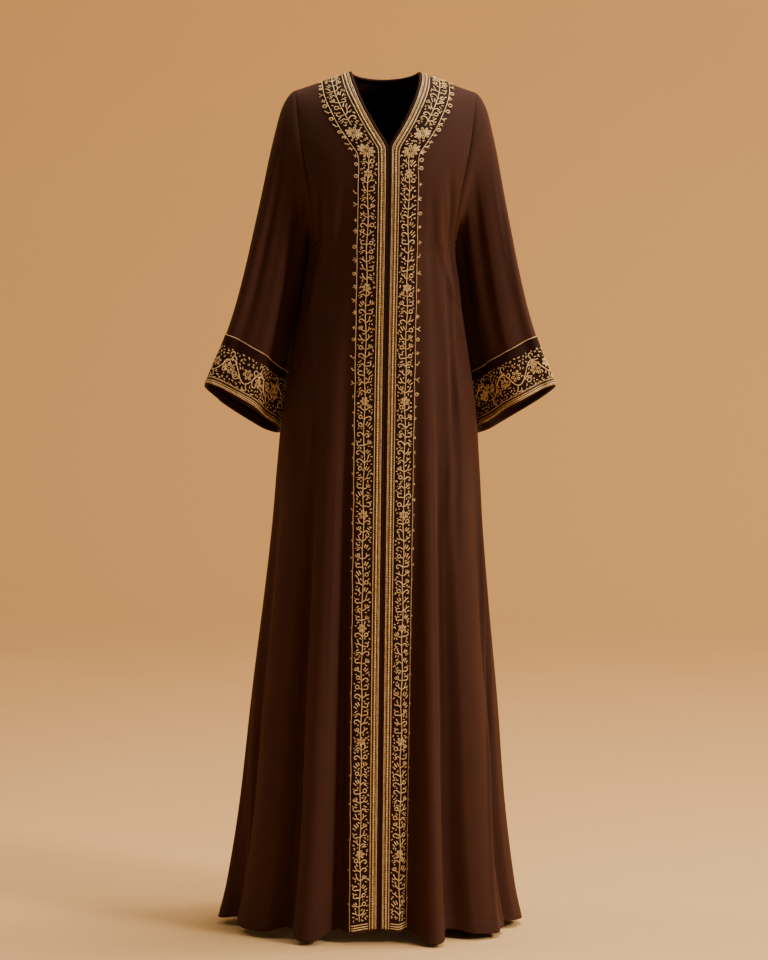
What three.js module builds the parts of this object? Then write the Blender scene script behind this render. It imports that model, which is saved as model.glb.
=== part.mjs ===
// A full-length open-front kaftan with wide set-in sleeves, as it hangs on a wearer's shoulders.
//
// Millimetres, +Z up. The origin is where the shoulders carry the garment: midway between the two
// high points of the shoulder, with the front towards -Y. "Left" and "right" are the wearer's, so the
// right front lies on the -X side. Every cloth piece is a wall of even thickness. Its outer face lies on
// one of two surfaces: the body, a stack of ellipses with folds, and the sleeve, a stack of rings.

import * as THREE from "three";

// ---------------------------------------------------------------- driving dimensions

const LENGTH = 1520; // high point of the shoulder down to the hem
const CLOTH = 2.0; // thickness of the cloth wall
const TRIM = 1.2; // thickness of the bands, the braid and the facings
const GAP = 0.3; // clearance between neighbouring pieces
const HALF_GAP = GAP / 2;
const ARMHOLE_GAP = 0.8; // the armhole seam twists, so its two straight-sided edges stand further apart
const TRIM_GAP = 0.5; // clearance of what lies on a curved panel

const NECK_HALF = 59; // half the neck width at the shoulder
const NECK_FRONT = 117; // depth of the V
const NECK_CURVE = 1.4; // 1 is a straight V, and more bows it outwards
const NECK_BACK = 18; // depth of the back neckline
const SHOULDER_SLOPE = Math.tan(radians(18));
const SHOULDER_TIP = 161; // half width at the top of the armhole
const UNDERARM = 300; // depth of the armhole
const ARMHOLE_ANGLE = 58; // where its edge stands on the body's ellipse, in degrees from the centre front
const ARMHOLE_TURN = 130; // height over which the edge turns under the arm
const FRONT_ARCH = 210; // depth over which the front rounds over from the shoulder
const BACK_ARCH = 160;

// Distances from the finished front edge to the lines of trim beside it.
const EDGE = { cloth: 1.3, binding: 5.15, braid: 18.45, motif: 35, band: 52 };
const TRIM_END = 1516; // depth at which the band and the braid stop above the hem

// ---------------------------------------------------------------- tables

// The body's ellipses: half is the half width, and front and back are the two half depths.
const BODY = [
  { drop: 0, half: 190, front: 108, back: 92 },
  { drop: 118, half: 173, front: 109, back: 94 },
  { drop: 212, half: 153, front: 111, back: 95 },
  { drop: 300, half: 130, front: 112, back: 93 },
  { drop: 374, half: 138, front: 111, back: 91 },
  { drop: 482, half: 154, front: 109, back: 93 },
  { drop: 589, half: 171, front: 112, back: 101 },
  { drop: 697, half: 180, front: 118, back: 112 },
  { drop: 805, half: 187, front: 125, back: 121 },
  { drop: 949, half: 200, front: 135, back: 133 },
  { drop: 1128, half: 218, front: 150, back: 148 },
  { drop: 1308, half: 233, front: 166, back: 165 },
  { drop: 1452, half: 252, front: 180, back: 181 },
  { drop: 1520, half: 266, front: 189, back: 191 },
];

// The skirt's folds. at is where one meets the hem, in degrees round the hem from the centre front, with
// the wearer's right negative. half is its half width there, out is how far it stands proud at the hem,
// negative for a trough, and from is the depth at which it starts.
const FOLDS = [
  { at: 0, half: 16, out: -12, from: 700 },
  { at: -17, half: 7, out: -30, from: 430 },
  { at: -28, half: 9.5, out: 26, from: 330 },
  { at: -39.5, half: 8, out: -24, from: 480 },
  { at: -56, half: 14, out: 9, from: 420 },
  { at: -75, half: 8, out: -22, from: 640 },
  { at: -88, half: 8, out: 9, from: 620 },
  { at: 12.5, half: 5.5, out: -22, from: 480 },
  { at: 20.5, half: 8.5, out: 32, from: 330 },
  { at: 31.5, half: 8.5, out: -25, from: 360 },
  { at: 49, half: 15, out: 15, from: 330 },
  { at: 67, half: 7.5, out: -20, from: 620 },
  { at: 84, half: 11, out: 7, from: 600 },
  { at: -102, half: 9, out: -18, from: 560 },
  { at: -118, half: 10, out: 18, from: 420 },
  { at: -136, half: 10, out: -22, from: 380 },
  { at: -153, half: 11, out: 20, from: 300 },
  { at: -170, half: 8, out: -17, from: 440 },
  { at: 100, half: 8, out: -16, from: 600 },
  { at: 115, half: 10, out: 17, from: 380 },
  { at: 132, half: 9, out: -21, from: 440 },
  { at: 148, half: 10, out: 19, from: 320 },
  { at: 165, half: 9, out: -20, from: 360 },
  { at: 180, half: 8, out: 14, from: 520 },
];
const FOLD_GROWTH = 1.25; // above 1, a fold opens faster towards the hem
const OPENING_RISE = { rise: 8, half: 22, from: 1280 }; // the front edges ride up at the hem
const HEM_SAG = { share: 0.22, from: 1280 }; // a fold that stands proud hangs lower by this share of it

// The sleeve's rings below the armhole. Each spans from the outer line of the sleeve to the inner line,
// front and back are its two half depths, ahead is how far it swings forward with the arm, tip is how
// much higher its front hangs than its middle, and tuck is how far the inner line hangs back, beside
// the body.
const SLEEVE = [
  { outX: 172, outZ: -46, inX: 133.5, inZ: -296.5, front: 54, back: 47, ahead: 0, tip: 0, tuck: 0 },
  { outX: 182.5, outZ: -68, inX: 133.5, inZ: -300, front: 55, back: 46, ahead: 0, tip: 0, tuck: 10 },
  { outX: 192.5, outZ: -106, inX: 131, inZ: -319, front: 54, back: 46, ahead: 1, tip: 0, tuck: 24 },
  { outX: 203, outZ: -153, inX: 130, inZ: -346, front: 52, back: 46, ahead: 3, tip: 1, tuck: 42 },
  { outX: 214.5, outZ: -212, inX: 133, inZ: -386, front: 51, back: 45, ahead: 5, tip: 3, tuck: 54 },
  { outX: 227, outZ: -272, inX: 137.5, inZ: -428, front: 50, back: 45, ahead: 8, tip: 5, tuck: 60 },
  { outX: 241, outZ: -338, inX: 144, inZ: -472, front: 50, back: 45, ahead: 10, tip: 8, tuck: 62 },
  { outX: 258, outZ: -408, inX: 151.5, inZ: -514, front: 50, back: 46, ahead: 12, tip: 11, tuck: 62 },
  { outX: 276.5, outZ: -468, inX: 158.5, inZ: -548, front: 51, back: 46, ahead: 13, tip: 14, tuck: 61 },
  { outX: 292, outZ: -507, inX: 166, inZ: -588, front: 53, back: 47, ahead: 14, tip: 16, tuck: 59 },
  { outX: 306, outZ: -541, inX: 172, inZ: -629, front: 54, back: 48, ahead: 14, tip: 18, tuck: 56 },
  { outX: 310.5, outZ: -553, inX: 173.7, inZ: -644, front: 55, back: 49, ahead: 14, tip: 19, tuck: 54 },
  { outX: 312, outZ: -556.5, inX: 174.2, inZ: -648, front: 55, back: 49, ahead: 14, tip: 19, tuck: 54 },
];
const CUFF = { bandTop: 9, braidTop: 11, braidEnd: 12, hem: 13 }; // ring numbers, the armhole being 0
const SLEEVE_EASE = 3; // rings over which the armhole's outline turns into an ellipse

// The sleeve's folds. at and half are degrees round the sleeve from its outer line towards the front.
// They grow from the ring from to the ring full.
const SLEEVE_FOLDS = [
  { at: 52, half: 24, out: -7, from: 1, full: 9 },
  { at: 92, half: 22, out: 6, from: 2, full: 10 },
  { at: 128, half: 22, out: -8, from: 1, full: 8 },
  { at: 236, half: 26, out: -7, from: 1, full: 9 },
  { at: 284, half: 28, out: 5, from: 2, full: 10 },
  { at: 318, half: 18, out: -6, from: 2, full: 9 },
];

// Depths of the cloth's rows, first down to the underarm and then to the hem.
const ARM_ROWS = [0, 2, 8, 20, 42, 78, NECK_FRONT, 150, 190, 230, 262, 285, UNDERARM];
const SKIRT_ROWS = [360, 430, 510, 600, 700, 805, 915, 1025, 1130, 1235, 1335, 1430, TRIM_END, LENGTH];
const ROWS = [...ARM_ROWS, ...SKIRT_ROWS];
const FRONT_COLUMNS = 16; // steps between the band and the side seam
const BACK_COLUMNS = 34; // steps across the whole back
const BACK_LEAD = 92; // depth, at the centre back, of the row that starts at the shoulder tip

// ---------------------------------------------------------------- small helpers

function radians(degrees) {
  return (degrees * Math.PI) / 180;
}

function degrees(angle) {
  return (angle * 180) / Math.PI;
}

const clamp = (x, low, high) => Math.min(high, Math.max(low, x));
const mix = (a, b, t) => a + (b - a) * t;
const smooth = (t) => clamp(t, 0, 1) ** 2 * (3 - 2 * clamp(t, 0, 1));
const bump = (t) => (Math.abs(t) < 1 ? (1 - t * t) ** 2 : 0);
const quarterRound = (t) => Math.sqrt(1 - (1 - clamp(t, 0, 1)) ** 2);
const v3 = (x, y, z) => new THREE.Vector3(x, y, z);
const moved = (point, direction, distance) => point.clone().addScaledVector(direction, distance);

// A smooth curve through one column of a table, as a cubic between each two rows.
function curveOf(table, column, key = "drop") {
  const slope = table.map((row, i) => {
    const [a, b] = [table[Math.max(i - 1, 0)], table[Math.min(i + 1, table.length - 1)]];
    return (b[column] - a[column]) / (b[key] - a[key]);
  });
  return (at) => {
    let i = 0;
    while (i < table.length - 2 && at > table[i + 1][key]) i++;
    const [a, b] = [table[i], table[i + 1]];
    const span = b[key] - a[key];
    const t = (at - a[key]) / span;
    return (
      (1 + 2 * t) * (1 - t) ** 2 * a[column] +
      t * (1 - t) ** 2 * span * slope[i] +
      t * t * (3 - 2 * t) * b[column] +
      t * t * (t - 1) * span * slope[i + 1]
    );
  };
}

// ---------------------------------------------------------------- the body's surface

const halfAt = curveOf(BODY, "half");
const frontAt = curveOf(BODY, "front");
const backAt = curveOf(BODY, "back");
const HEM_HALF = halfAt(LENGTH);
const BAND_ANGLE = degrees(Math.asin(EDGE.band / HEM_HALF)); // hem angle of the band's outer edge

// Half width of the neckline at a depth. Past the point of the V it goes on, below zero.
function neckHalf(drop) {
  const t = drop / NECK_FRONT;
  if (t <= 1) return NECK_HALF * (1 - t ** NECK_CURVE);
  return -NECK_HALF * NECK_CURVE * (t - 1);
}

// Sideways place of a line that keeps a distance from the neckline and then from the front edge.
function besideEdge(distance, drop) {
  const steep = ((NECK_HALF * NECK_CURVE) / NECK_FRONT) * Math.min(drop / NECK_FRONT, 1) ** (NECK_CURVE - 1);
  const besideNeck = neckHalf(drop) + distance * Math.hypot(1, steep);
  const soften = 3; // rounds the corner where the two lines meet
  return (distance + besideNeck + Math.hypot(distance - besideNeck, soften)) / 2;
}

// The hem angle of the cloth that stands at an angle of the body's ellipse: folds follow the cloth down.
function hemAngle(angle, drop) {
  const size = Math.abs(angle);
  if (size >= 90) return angle;
  const bandAngle = degrees(Math.asin(EDGE.band / halfAt(drop)));
  const at =
    size < bandAngle
      ? (size / bandAngle) * BAND_ANGLE
      : BAND_ANGLE + ((size - bandAngle) / (90 - bandAngle)) * (90 - BAND_ANGLE);
  return Math.sign(angle) * at;
}

function foldDepth(angle, drop) {
  const at = hemAngle(angle, drop);
  let depth = 0;
  for (const fold of FOLDS) {
    if (drop <= fold.from) continue;
    const away = ((((at - fold.at) % 360) + 540) % 360) - 180;
    depth += fold.out * bump(away / fold.half) * ((drop - fold.from) / (LENGTH - fold.from)) ** FOLD_GROWTH;
  }
  return depth;
}

// The point of the outer face at an angle, in degrees from the centre front, and a depth.
function bodyPoint(angle, drop) {
  const [sine, cosine] = [Math.sin(radians(angle)), Math.cos(radians(angle))];
  const half = halfAt(drop);
  const ahead = frontAt(drop) * quarterRound(drop / FRONT_ARCH);
  const behind = backAt(drop) * quarterRound(drop / BACK_ARCH);
  const deep = cosine > 0 ? ahead : behind;
  const fold = foldDepth(angle, drop);
  const out = fold / Math.max(Math.hypot(deep * sine, half * cosine), 1e-9);
  const x = half * sine;
  const slope = SHOULDER_SLOPE * Math.max(Math.abs(x) - NECK_HALF, 0) * (1 - smooth(drop / UNDERARM));
  const rise =
    OPENING_RISE.rise *
    bump(angle / OPENING_RISE.half) *
    smooth((drop - OPENING_RISE.from) / (LENGTH - OPENING_RISE.from));
  const sag = HEM_SAG.share * fold * smooth((drop - HEM_SAG.from) / (LENGTH - HEM_SAG.from));
  return v3(x + deep * sine * out, -cosine * (deep + half * out), rise - sag - drop - slope);
}

// The point with the outward normal there.
function bodySpot(angle, drop) {
  const step = 0.01;
  const point = bodyPoint(angle, drop);
  const round = bodyPoint(angle + step, drop).sub(bodyPoint(angle - step, drop));
  const down = bodyPoint(angle, drop + step).sub(bodyPoint(angle, Math.max(drop - step, 0)));
  return { point, normal: down.cross(round).normalize() };
}

const angleOf = (x, drop) => degrees(Math.asin(clamp(x / halfAt(drop), -1, 1)));
const armholeAngle = (drop) =>
  90 - (90 - ARMHOLE_ANGLE) * quarterRound((UNDERARM - drop) / ARMHOLE_TURN);
const seamInset = (drop) => degrees(HALF_GAP / backAt(drop)); // half a gap as an angle at the side seam

// ---------------------------------------------------------------- building walls

// A closed wall from two matching grids of points, the outer face first. Rows may close on themselves.
function wallOf(outer, inner, closed = false) {
  const [rows, columns] = [outer.length, outer[0].length];
  const points = [...outer.flat(), ...inner.flat()];
  const faces = [];
  const quad = (a, b, c, d) => faces.push(a, b, c, a, c, d);
  const at = (face, row, column) => (face * rows + row) * columns + (column % columns);
  const across = closed ? columns : columns - 1;
  for (let r = 0; r < rows - 1; r++)
    for (let c = 0; c < across; c++) {
      quad(at(0, r, c), at(0, r + 1, c), at(0, r + 1, c + 1), at(0, r, c + 1));
      quad(at(1, r, c), at(1, r, c + 1), at(1, r + 1, c + 1), at(1, r + 1, c));
    }
  for (let c = 0; c < across; c++) {
    quad(at(0, 0, c), at(0, 0, c + 1), at(1, 0, c + 1), at(1, 0, c));
    const r = rows - 1;
    quad(at(0, r, c), at(1, r, c), at(1, r, c + 1), at(0, r, c + 1));
  }
  for (let r = 0; r < rows - 1 && !closed; r++) {
    quad(at(0, r, 0), at(1, r, 0), at(1, r + 1, 0), at(0, r + 1, 0));
    const c = columns - 1;
    quad(at(0, r, c), at(0, r + 1, c), at(1, r + 1, c), at(1, r, c));
  }
  return geometryOf(points, faces);
}

// A closed bar from sections that are loops of points, each turning the same way. caps are the triangles
// that close its ends.
function barOf(sections, caps) {
  const size = sections[0].length;
  const last = (sections.length - 1) * size;
  const faces = [];
  for (let s = 0; s < last; s += size)
    for (let i = 0; i < size; i++) {
      const [a, b] = [s + i, s + ((i + 1) % size)];
      faces.push(a, b, b + size, a, b + size, a + size);
    }
  for (const [a, b, c] of caps) faces.push(a, c, b, last + a, last + b, last + c);
  return geometryOf(sections.flat(), faces);
}

function geometryOf(points, faces) {
  const geometry = new THREE.BufferGeometry();
  geometry.setAttribute(
    "position",
    new THREE.Float32BufferAttribute(
      points.flatMap((p) => [p.x, p.y, p.z]),
      3,
    ),
  );
  geometry.setIndex(faces);
  geometry.computeVertexNormals();
  return geometry;
}

const lifted = (grid, distance) => grid.map((row) => row.map((s) => moved(s.point, s.normal, distance)));

// A wall between two heights over a grid of spots. wallOf wants rows that run towards the wearer's left
// when they are listed downwards, so a mirrored grid is listed upwards.
function wallOver(grid, mirror, high, low, closed = false) {
  const rows = mirror ? [...grid].reverse() : grid;
  return wallOf(lifted(rows, high), lifted(rows, low), closed);
}

// ---------------------------------------------------------------- the body's panels

// Even steps along the hem, folds included, from the band to the side seam, as shares of that stretch.
function hemShares(side) {
  const samples = 600;
  const lengths = [0];
  let last = bodyPoint(side * BAND_ANGLE, LENGTH);
  for (let i = 1; i <= samples; i++) {
    const next = bodyPoint(side * mix(BAND_ANGLE, 90, i / samples), LENGTH);
    lengths.push(lengths[i - 1] + next.distanceTo(last));
    last = next;
  }
  const shares = [];
  for (let k = 1, i = 0; k <= FRONT_COLUMNS; k++) {
    while (lengths[i] < (lengths[samples] * k) / FRONT_COLUMNS - 1e-6) i++;
    shares.push(i / samples);
  }
  return shares;
}

// A front panel's points, row by row from the shoulder seam, and in each row from the front edge to the
// armhole or the side seam. The first columns are the lines that the trim follows.
function frontGrid(side) {
  const shares = hemShares(side);
  return ROWS.map((drop) => {
    const bandAt = angleOf(besideEdge(EDGE.band, drop), drop);
    const edgeAt = drop < UNDERARM ? armholeAngle(drop) : 90 - seamInset(drop);
    const angles = [EDGE.cloth, EDGE.binding, EDGE.braid, EDGE.motif].map((line) =>
      angleOf(besideEdge(line, drop), drop),
    );
    angles.push(bandAt, ...shares.map((share) => mix(bandAt, edgeAt, share)));
    return angles.map((angle) => {
      const spot = bodySpot(side * angle, drop);
      if (drop === 0) spot.point.y -= HALF_GAP; // the shoulder seam
      return spot;
    });
  });
}

// The back's rows: along the neckline and outwards to the shoulder tip, then down the armhole and the side.
function backRows() {
  const seam = [NECK_HALF + EDGE.cloth, NECK_HALF + EDGE.binding, NECK_HALF + EDGE.braid, 100, 130];
  return [
    ...seam.map((x) => ({
      side: x,
      drop: 0,
      centre: mix(NECK_BACK, BACK_LEAD, (x - NECK_HALF) / (SHOULDER_TIP - NECK_HALF)),
    })),
    ...ROWS.map((drop) => ({
      side: halfAt(drop) * Math.sin(radians(drop < UNDERARM ? armholeAngle(drop) : 90 - seamInset(drop))),
      drop,
      centre: drop + BACK_LEAD * Math.max(1 - drop / UNDERARM, 0) ** 1.3,
    })),
  ];
}

// A point of the back: share runs from -1 at the wearer's right edge of the row, over the middle, to 1.
function backSpot(row, share) {
  const turn = radians(90 * share);
  const drop = row.drop + (row.centre - row.drop) * Math.cos(turn);
  const x = row.side * Math.sin(turn);
  const away = angleOf(Math.abs(x), drop);
  const spot = bodySpot((Math.sign(x) || 1) * (180 - away), drop);
  if (row.drop === 0 && Math.abs(share) > 1 - 1e-9) spot.point.y += HALF_GAP; // the shoulder seam
  return spot;
}

function backGrid() {
  return backRows().map((row) =>
    Array.from({ length: BACK_COLUMNS + 1 }, (_, i) => backSpot(row, mix(-1, 1, i / BACK_COLUMNS))),
  );
}

const fronts = { right: frontGrid(-1), left: frontGrid(1) };
const back = backGrid();

// ---------------------------------------------------------------- trim on the body

// In-surface direction across a strip, from the column or row b back towards a.
const towards = (a, b) => a.point.clone().sub(b.point).normalize();

// The flat section of a strip between two spots of a panel, inset by half a gap at each side.
function stripSection(inside, outside, low, high) {
  const back1 = towards(inside, outside);
  const inner = moved(inside.point, back1, -HALF_GAP);
  const outer = moved(outside.point, back1, HALF_GAP);
  return [
    moved(inner, inside.normal, low),
    moved(outer, outside.normal, low),
    moved(outer, outside.normal, high),
    moved(inner, inside.normal, high),
  ];
}

// The folded section of the binding, which wraps a cloth edge at the spot edge and ends at the spot inside.
function bindingSection(edge, inside) {
  const out = towards(edge, inside);
  const reach = EDGE.cloth - HALF_GAP; // from the cloth's edge to the finished edge
  const at = (spot, along, high) => moved(moved(spot.point, out, along), spot.normal, high);
  const [over, under] = [TRIM_GAP, -CLOTH - TRIM_GAP];
  return [
    at(inside, HALF_GAP, over),
    at(inside, HALF_GAP, over + TRIM),
    at(edge, reach, over + TRIM),
    at(edge, reach, under - TRIM),
    at(inside, HALF_GAP, under - TRIM),
    at(inside, HALF_GAP, under),
    at(edge, TRIM_GAP, under),
    at(edge, TRIM_GAP, over),
  ];
}

// Sections of a trim that runs up the right front, round the back neck and down the left front. The
// columns of a front and the rows of the back that bound it are numbered alike.
function aroundNeck(sectionOf, first, second, lowest) {
  const rightFront = fronts.right.slice(1, lowest + 1).map((row) => sectionOf(row[first], row[second]));
  const leftFront = fronts.left.slice(1, lowest + 1).map((row) => sectionOf(row[first], row[second]));
  const backNeck = back[first].map((spot, i) => sectionOf(spot, back[second][i]));
  return [...rightFront.reverse(), ...backNeck, ...leftFront];
}

const trimRow = ROWS.indexOf(TRIM_END);
const hemRow = ROWS.length - 1;

function edgeBinding() {
  const sections = aroundNeck((a, b) => bindingSection(a, b), 0, 1, hemRow);
  const legs = [
    [0, 1, 2],
    [0, 2, 7],
    [7, 2, 3],
    [7, 3, 6],
    [6, 3, 4],
    [6, 4, 5],
  ];
  return barOf(sections, legs);
}

function neckBraid() {
  const sections = aroundNeck((a, b) => stripSection(a, b, TRIM_GAP, TRIM_GAP + TRIM), 1, 2, trimRow);
  const flat = [
    [0, 1, 2],
    [0, 2, 3],
  ];
  return barOf(sections, flat);
}

// The applied band that carries the embroidery, from the shoulder seam down to the end of the trim.
function frontBand(side) {
  const grid = fronts[side].slice(0, trimRow + 1).map((row) => {
    const [inside, middle, outside] = [row[2], row[3], row[4]];
    const across = towards(inside, outside);
    return [
      { point: moved(inside.point, across, -HALF_GAP), normal: inside.normal },
      middle,
      { point: moved(outside.point, across, HALF_GAP), normal: outside.normal },
    ];
  });
  return wallOver(grid, side === "right", TRIM_GAP + TRIM, TRIM_GAP);
}

// ---------------------------------------------------------------- the sleeves

// The armhole's edge, from the shoulder tip down the front, under the arm and up the back.
function armholeLoop(side) {
  const spots = [
    ...ARM_ROWS.map((drop) => bodySpot(side * armholeAngle(drop), drop)),
    ...ARM_ROWS.slice(1, -1)
      .reverse()
      .map((drop) => bodySpot(side * (180 - armholeAngle(drop)), drop)),
  ];
  return spots.map((spot, i) => {
    const [before, after] = [spots.at(i - 1), spots[(i + 1) % spots.length]];
    const along = after.point.clone().sub(before.point);
    const away = spot.normal.clone().cross(along).normalize().multiplyScalar(side);
    return { point: moved(spot.point, away, ARMHOLE_GAP), normal: spot.normal };
  });
}

function sleeveFold(turn, ring) {
  let depth = 0;
  for (const fold of SLEEVE_FOLDS) {
    const growth = smooth((ring - fold.from) / (fold.full - fold.from));
    depth += fold.out * bump((turn - fold.at) / fold.half) * growth;
  }
  return depth;
}

// A sleeve's rings of spots. Round a ring, the points keep their places from the armhole at first and
// then even out.
function sleeveGrid(side) {
  const loop = armholeLoop(side);
  const count = loop.length;
  const [top, bottom] = [loop[0].point, loop[count / 2].point];
  const turns = loop.map(({ point }, i) => {
    const up = clamp((2 * (point.z - bottom.z)) / (top.z - bottom.z) - 1, -1, 1);
    const turn = degrees(Math.acos(up));
    return i <= count / 2 ? turn : 360 - turn;
  });
  const ellipse = (row, turn) => {
    const [sine, cosine] = [Math.sin(radians(turn)), Math.cos(radians(turn))];
    return v3(
      side * (mix(row.inX, row.outX, 0.5) + ((row.outX - row.inX) / 2) * cosine),
      (row.tuck * (1 - cosine)) / 2 - row.ahead - (sine > 0 ? row.front : row.back) * sine,
      mix(row.inZ, row.outZ, 0.5) + ((row.outZ - row.inZ) / 2) * cosine + row.tip * sine,
    );
  };
  const first = {
    outX: side * top.x,
    outZ: top.z,
    inX: side * bottom.x,
    inZ: bottom.z,
    front: SLEEVE[0].front,
    back: SLEEVE[0].back,
    ahead: 0,
    tip: 0,
    tuck: 0,
  };
  // What the ellipse misses of the armhole's outline.
  const own = loop.map(({ point }, i) => point.clone().sub(ellipse(first, turns[i])));
  const rings = SLEEVE.map((row, r) => {
    const eased = smooth((r + 1) / SLEEVE.length);
    const kept = 1 - smooth((r + 1) / SLEEVE_EASE);
    return turns.map((turn, i) => {
      const even = mix(turn, (360 * i) / count, eased);
      return { turn: even, point: ellipse(row, even).addScaledVector(own[i], kept) };
    });
  });
  const all = [loop, ...rings];
  const spots = normalsOf(all, side);
  rings.forEach((ring, r) =>
    ring.forEach((spot, i) => {
      const { point, normal } = spots[r + 1][i];
      spots[r + 1][i].point = moved(point, normal, sleeveFold(spot.turn, r + 1));
    }),
  );
  const settled = normalsOf(spots, side);
  settled[0] = loop;
  return settled;
}

// Outward normals of a grid of rings, from each point's neighbours.
function normalsOf(rings, side) {
  const count = rings[0].length;
  return rings.map((ring, r) =>
    ring.map(({ point }, i) => {
      const [above, below] = [rings[Math.max(r - 1, 0)], rings[Math.min(r + 1, rings.length - 1)]];
      const down = below[i].point.clone().sub(above[i].point);
      const round = ring[(i + 1) % count].point.clone().sub(ring[(i + count - 1) % count].point);
      return { point: point.clone(), normal: round.cross(down).normalize().multiplyScalar(side) };
    }),
  );
}

const sleeves = { right: sleeveGrid(-1), left: sleeveGrid(1) };

const sleeveWall = (grid, side, high, low) => wallOver(grid, side === "left", high, low, true);

// The rings of a cuff piece, drawn in by half a gap at its two ends.
function cuffRings(side, first, last) {
  const rings = sleeves[side].slice(first, last + 1).map((ring) => ring.map((spot) => ({ ...spot })));
  const end = rings.length - 1;
  rings[0].forEach((spot, i) => {
    const other = rings[end][i];
    const along = towards(spot, other);
    spot.point = moved(spot.point, along, -HALF_GAP);
    other.point = moved(other.point, along, HALF_GAP);
  });
  return rings;
}

// ---------------------------------------------------------------- the kaftan

const cloth = new THREE.MeshStandardMaterial({ color: 0x452218, roughness: 0.85, metalness: 0 });
const darkCloth = new THREE.MeshStandardMaterial({ color: 0x22100a, roughness: 0.8, metalness: 0 });
const goldBraid = new THREE.MeshStandardMaterial({ color: 0xb98a45, roughness: 0.45, metalness: 0.7 });

const kaftan = new THREE.Group();

function addPiece(name, geometry, material) {
  const mesh = new THREE.Mesh(geometry, material);
  mesh.name = name;
  kaftan.add(mesh);
}

addPiece("back", wallOver(back, true, 0, -CLOTH), cloth);
addPiece("edge_binding", edgeBinding(), darkCloth);
addPiece("neck_braid", neckBraid(), goldBraid);
for (const side of ["right", "left"]) {
  addPiece(`front_${side}`, wallOver(fronts[side], side === "right", 0, -CLOTH), cloth);
  addPiece(`sleeve_${side}`, sleeveWall(sleeves[side], side, 0, -CLOTH), cloth);
  addPiece(`front_band_${side}`, frontBand(side), darkCloth);
  const band = cuffRings(side, CUFF.bandTop, CUFF.braidTop);
  addPiece(`cuff_band_${side}`, sleeveWall(band, side, GAP + TRIM, GAP), darkCloth);
  const braid = cuffRings(side, CUFF.braidTop, CUFF.braidEnd);
  addPiece(`cuff_braid_${side}`, sleeveWall(braid, side, GAP + TRIM, GAP), goldBraid);
  const facing = cuffRings(side, CUFF.braidTop, CUFF.hem);
  const [high, low] = [-CLOTH - GAP, -CLOTH - GAP - TRIM];
  addPiece(`cuff_facing_${side}`, sleeveWall(facing, side, high, low), darkCloth);
}

export default kaftan;
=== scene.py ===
import math
import random

import bmesh
import bpy
import numpy as np
from mathutils import Matrix, Vector


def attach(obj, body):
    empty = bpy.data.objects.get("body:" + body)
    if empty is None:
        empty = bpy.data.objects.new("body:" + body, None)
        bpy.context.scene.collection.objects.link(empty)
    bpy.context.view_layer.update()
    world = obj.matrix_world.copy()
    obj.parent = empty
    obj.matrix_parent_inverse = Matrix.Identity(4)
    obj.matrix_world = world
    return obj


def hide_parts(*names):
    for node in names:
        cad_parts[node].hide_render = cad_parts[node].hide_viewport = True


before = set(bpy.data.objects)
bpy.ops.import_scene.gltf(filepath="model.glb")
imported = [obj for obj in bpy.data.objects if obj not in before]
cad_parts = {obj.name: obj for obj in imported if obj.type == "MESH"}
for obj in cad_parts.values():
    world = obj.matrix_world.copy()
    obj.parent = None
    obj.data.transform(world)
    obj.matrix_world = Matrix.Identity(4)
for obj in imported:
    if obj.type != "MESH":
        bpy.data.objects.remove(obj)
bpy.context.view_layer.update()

# ---- Camera ---------------------------------------------------------------------------------------
# A long lens, twelve metres off, a little above the shoulders and turned slightly towards the wearer's
# right. The whole kaftan fills the upright frame.

AIM = Vector((0.0106, 0.0, -0.728))
CAMERA_BACK = {"azimuth": -5.0, "elevation": 9.5, "distance": 12.0, "roll": 1.0}
SEEN_HEIGHT = 1.709  # metres from the top of the frame to its bottom, at the kaftan

azimuth = math.radians(CAMERA_BACK["azimuth"])
elevation = math.radians(CAMERA_BACK["elevation"])
backwards = Vector((
    math.sin(azimuth) * math.cos(elevation),
    -math.cos(azimuth) * math.cos(elevation),
    math.sin(elevation),
))


def in_scene(name, data):
    """A new object that holds the data, linked to the scene."""
    piece = bpy.data.objects.new(name, data)
    bpy.context.scene.collection.objects.link(piece)
    return piece


camera = in_scene("camera", bpy.data.cameras.new("camera"))
camera.data.sensor_width = 36.0
camera.data.lens = camera.data.sensor_width * CAMERA_BACK["distance"] / SEEN_HEIGHT
camera.matrix_world = (
    Matrix.Translation(AIM + backwards * CAMERA_BACK["distance"])
    @ backwards.to_track_quat("Z", "Y").to_matrix().to_4x4()
    @ Matrix.Rotation(math.radians(CAMERA_BACK["roll"]), 4, "Z")
)
bpy.context.scene.camera = camera

# ---- Back -----------------------------------------------------------------------------------------
# One piece of soft brown crepe from the nape to the hem. It hangs from the shoulder seams and falls into
# deep, uneven folds. All the body's cloth lies on one surface, which this section sets out in
# millimetres: a stack of ellipses with folds, the same as the solids have.

MM = 0.001
LENGTH = 1520.0  # high point of the shoulder down to the hem
NECK_HALF = 59.0  # half the neck's width at the shoulder
NECK_FRONT = 117.0  # depth of the V
NECK_CURVE = 1.4  # 1 is a straight V, and more bows it outwards
NECK_BACK = 18.0  # depth of the back neckline
SHOULDER_SLOPE = math.tan(math.radians(18))
SHOULDER_TIP = 161.0  # half width at the top of the armhole
UNDERARM = 300.0  # depth of the armhole
ARMHOLE_ANGLE = 58.0  # where its edge stands on the body's ellipse, in degrees from the centre front
ARMHOLE_TURN = 130.0  # height over which the edge turns under the arm
FRONT_ARCH = 210.0  # depth over which the front rounds over from the shoulder
BACK_ARCH = 160.0
BACK_LEAD = 92.0  # depth, at the centre back, of the row that starts at the shoulder tip
CLOTH_EDGE = 1.3  # from the finished edge of neck and fronts back to the crepe's own edge
BAND_EDGE = 52.0  # from the finished edge to the outer edge of the embroidered band

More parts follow.
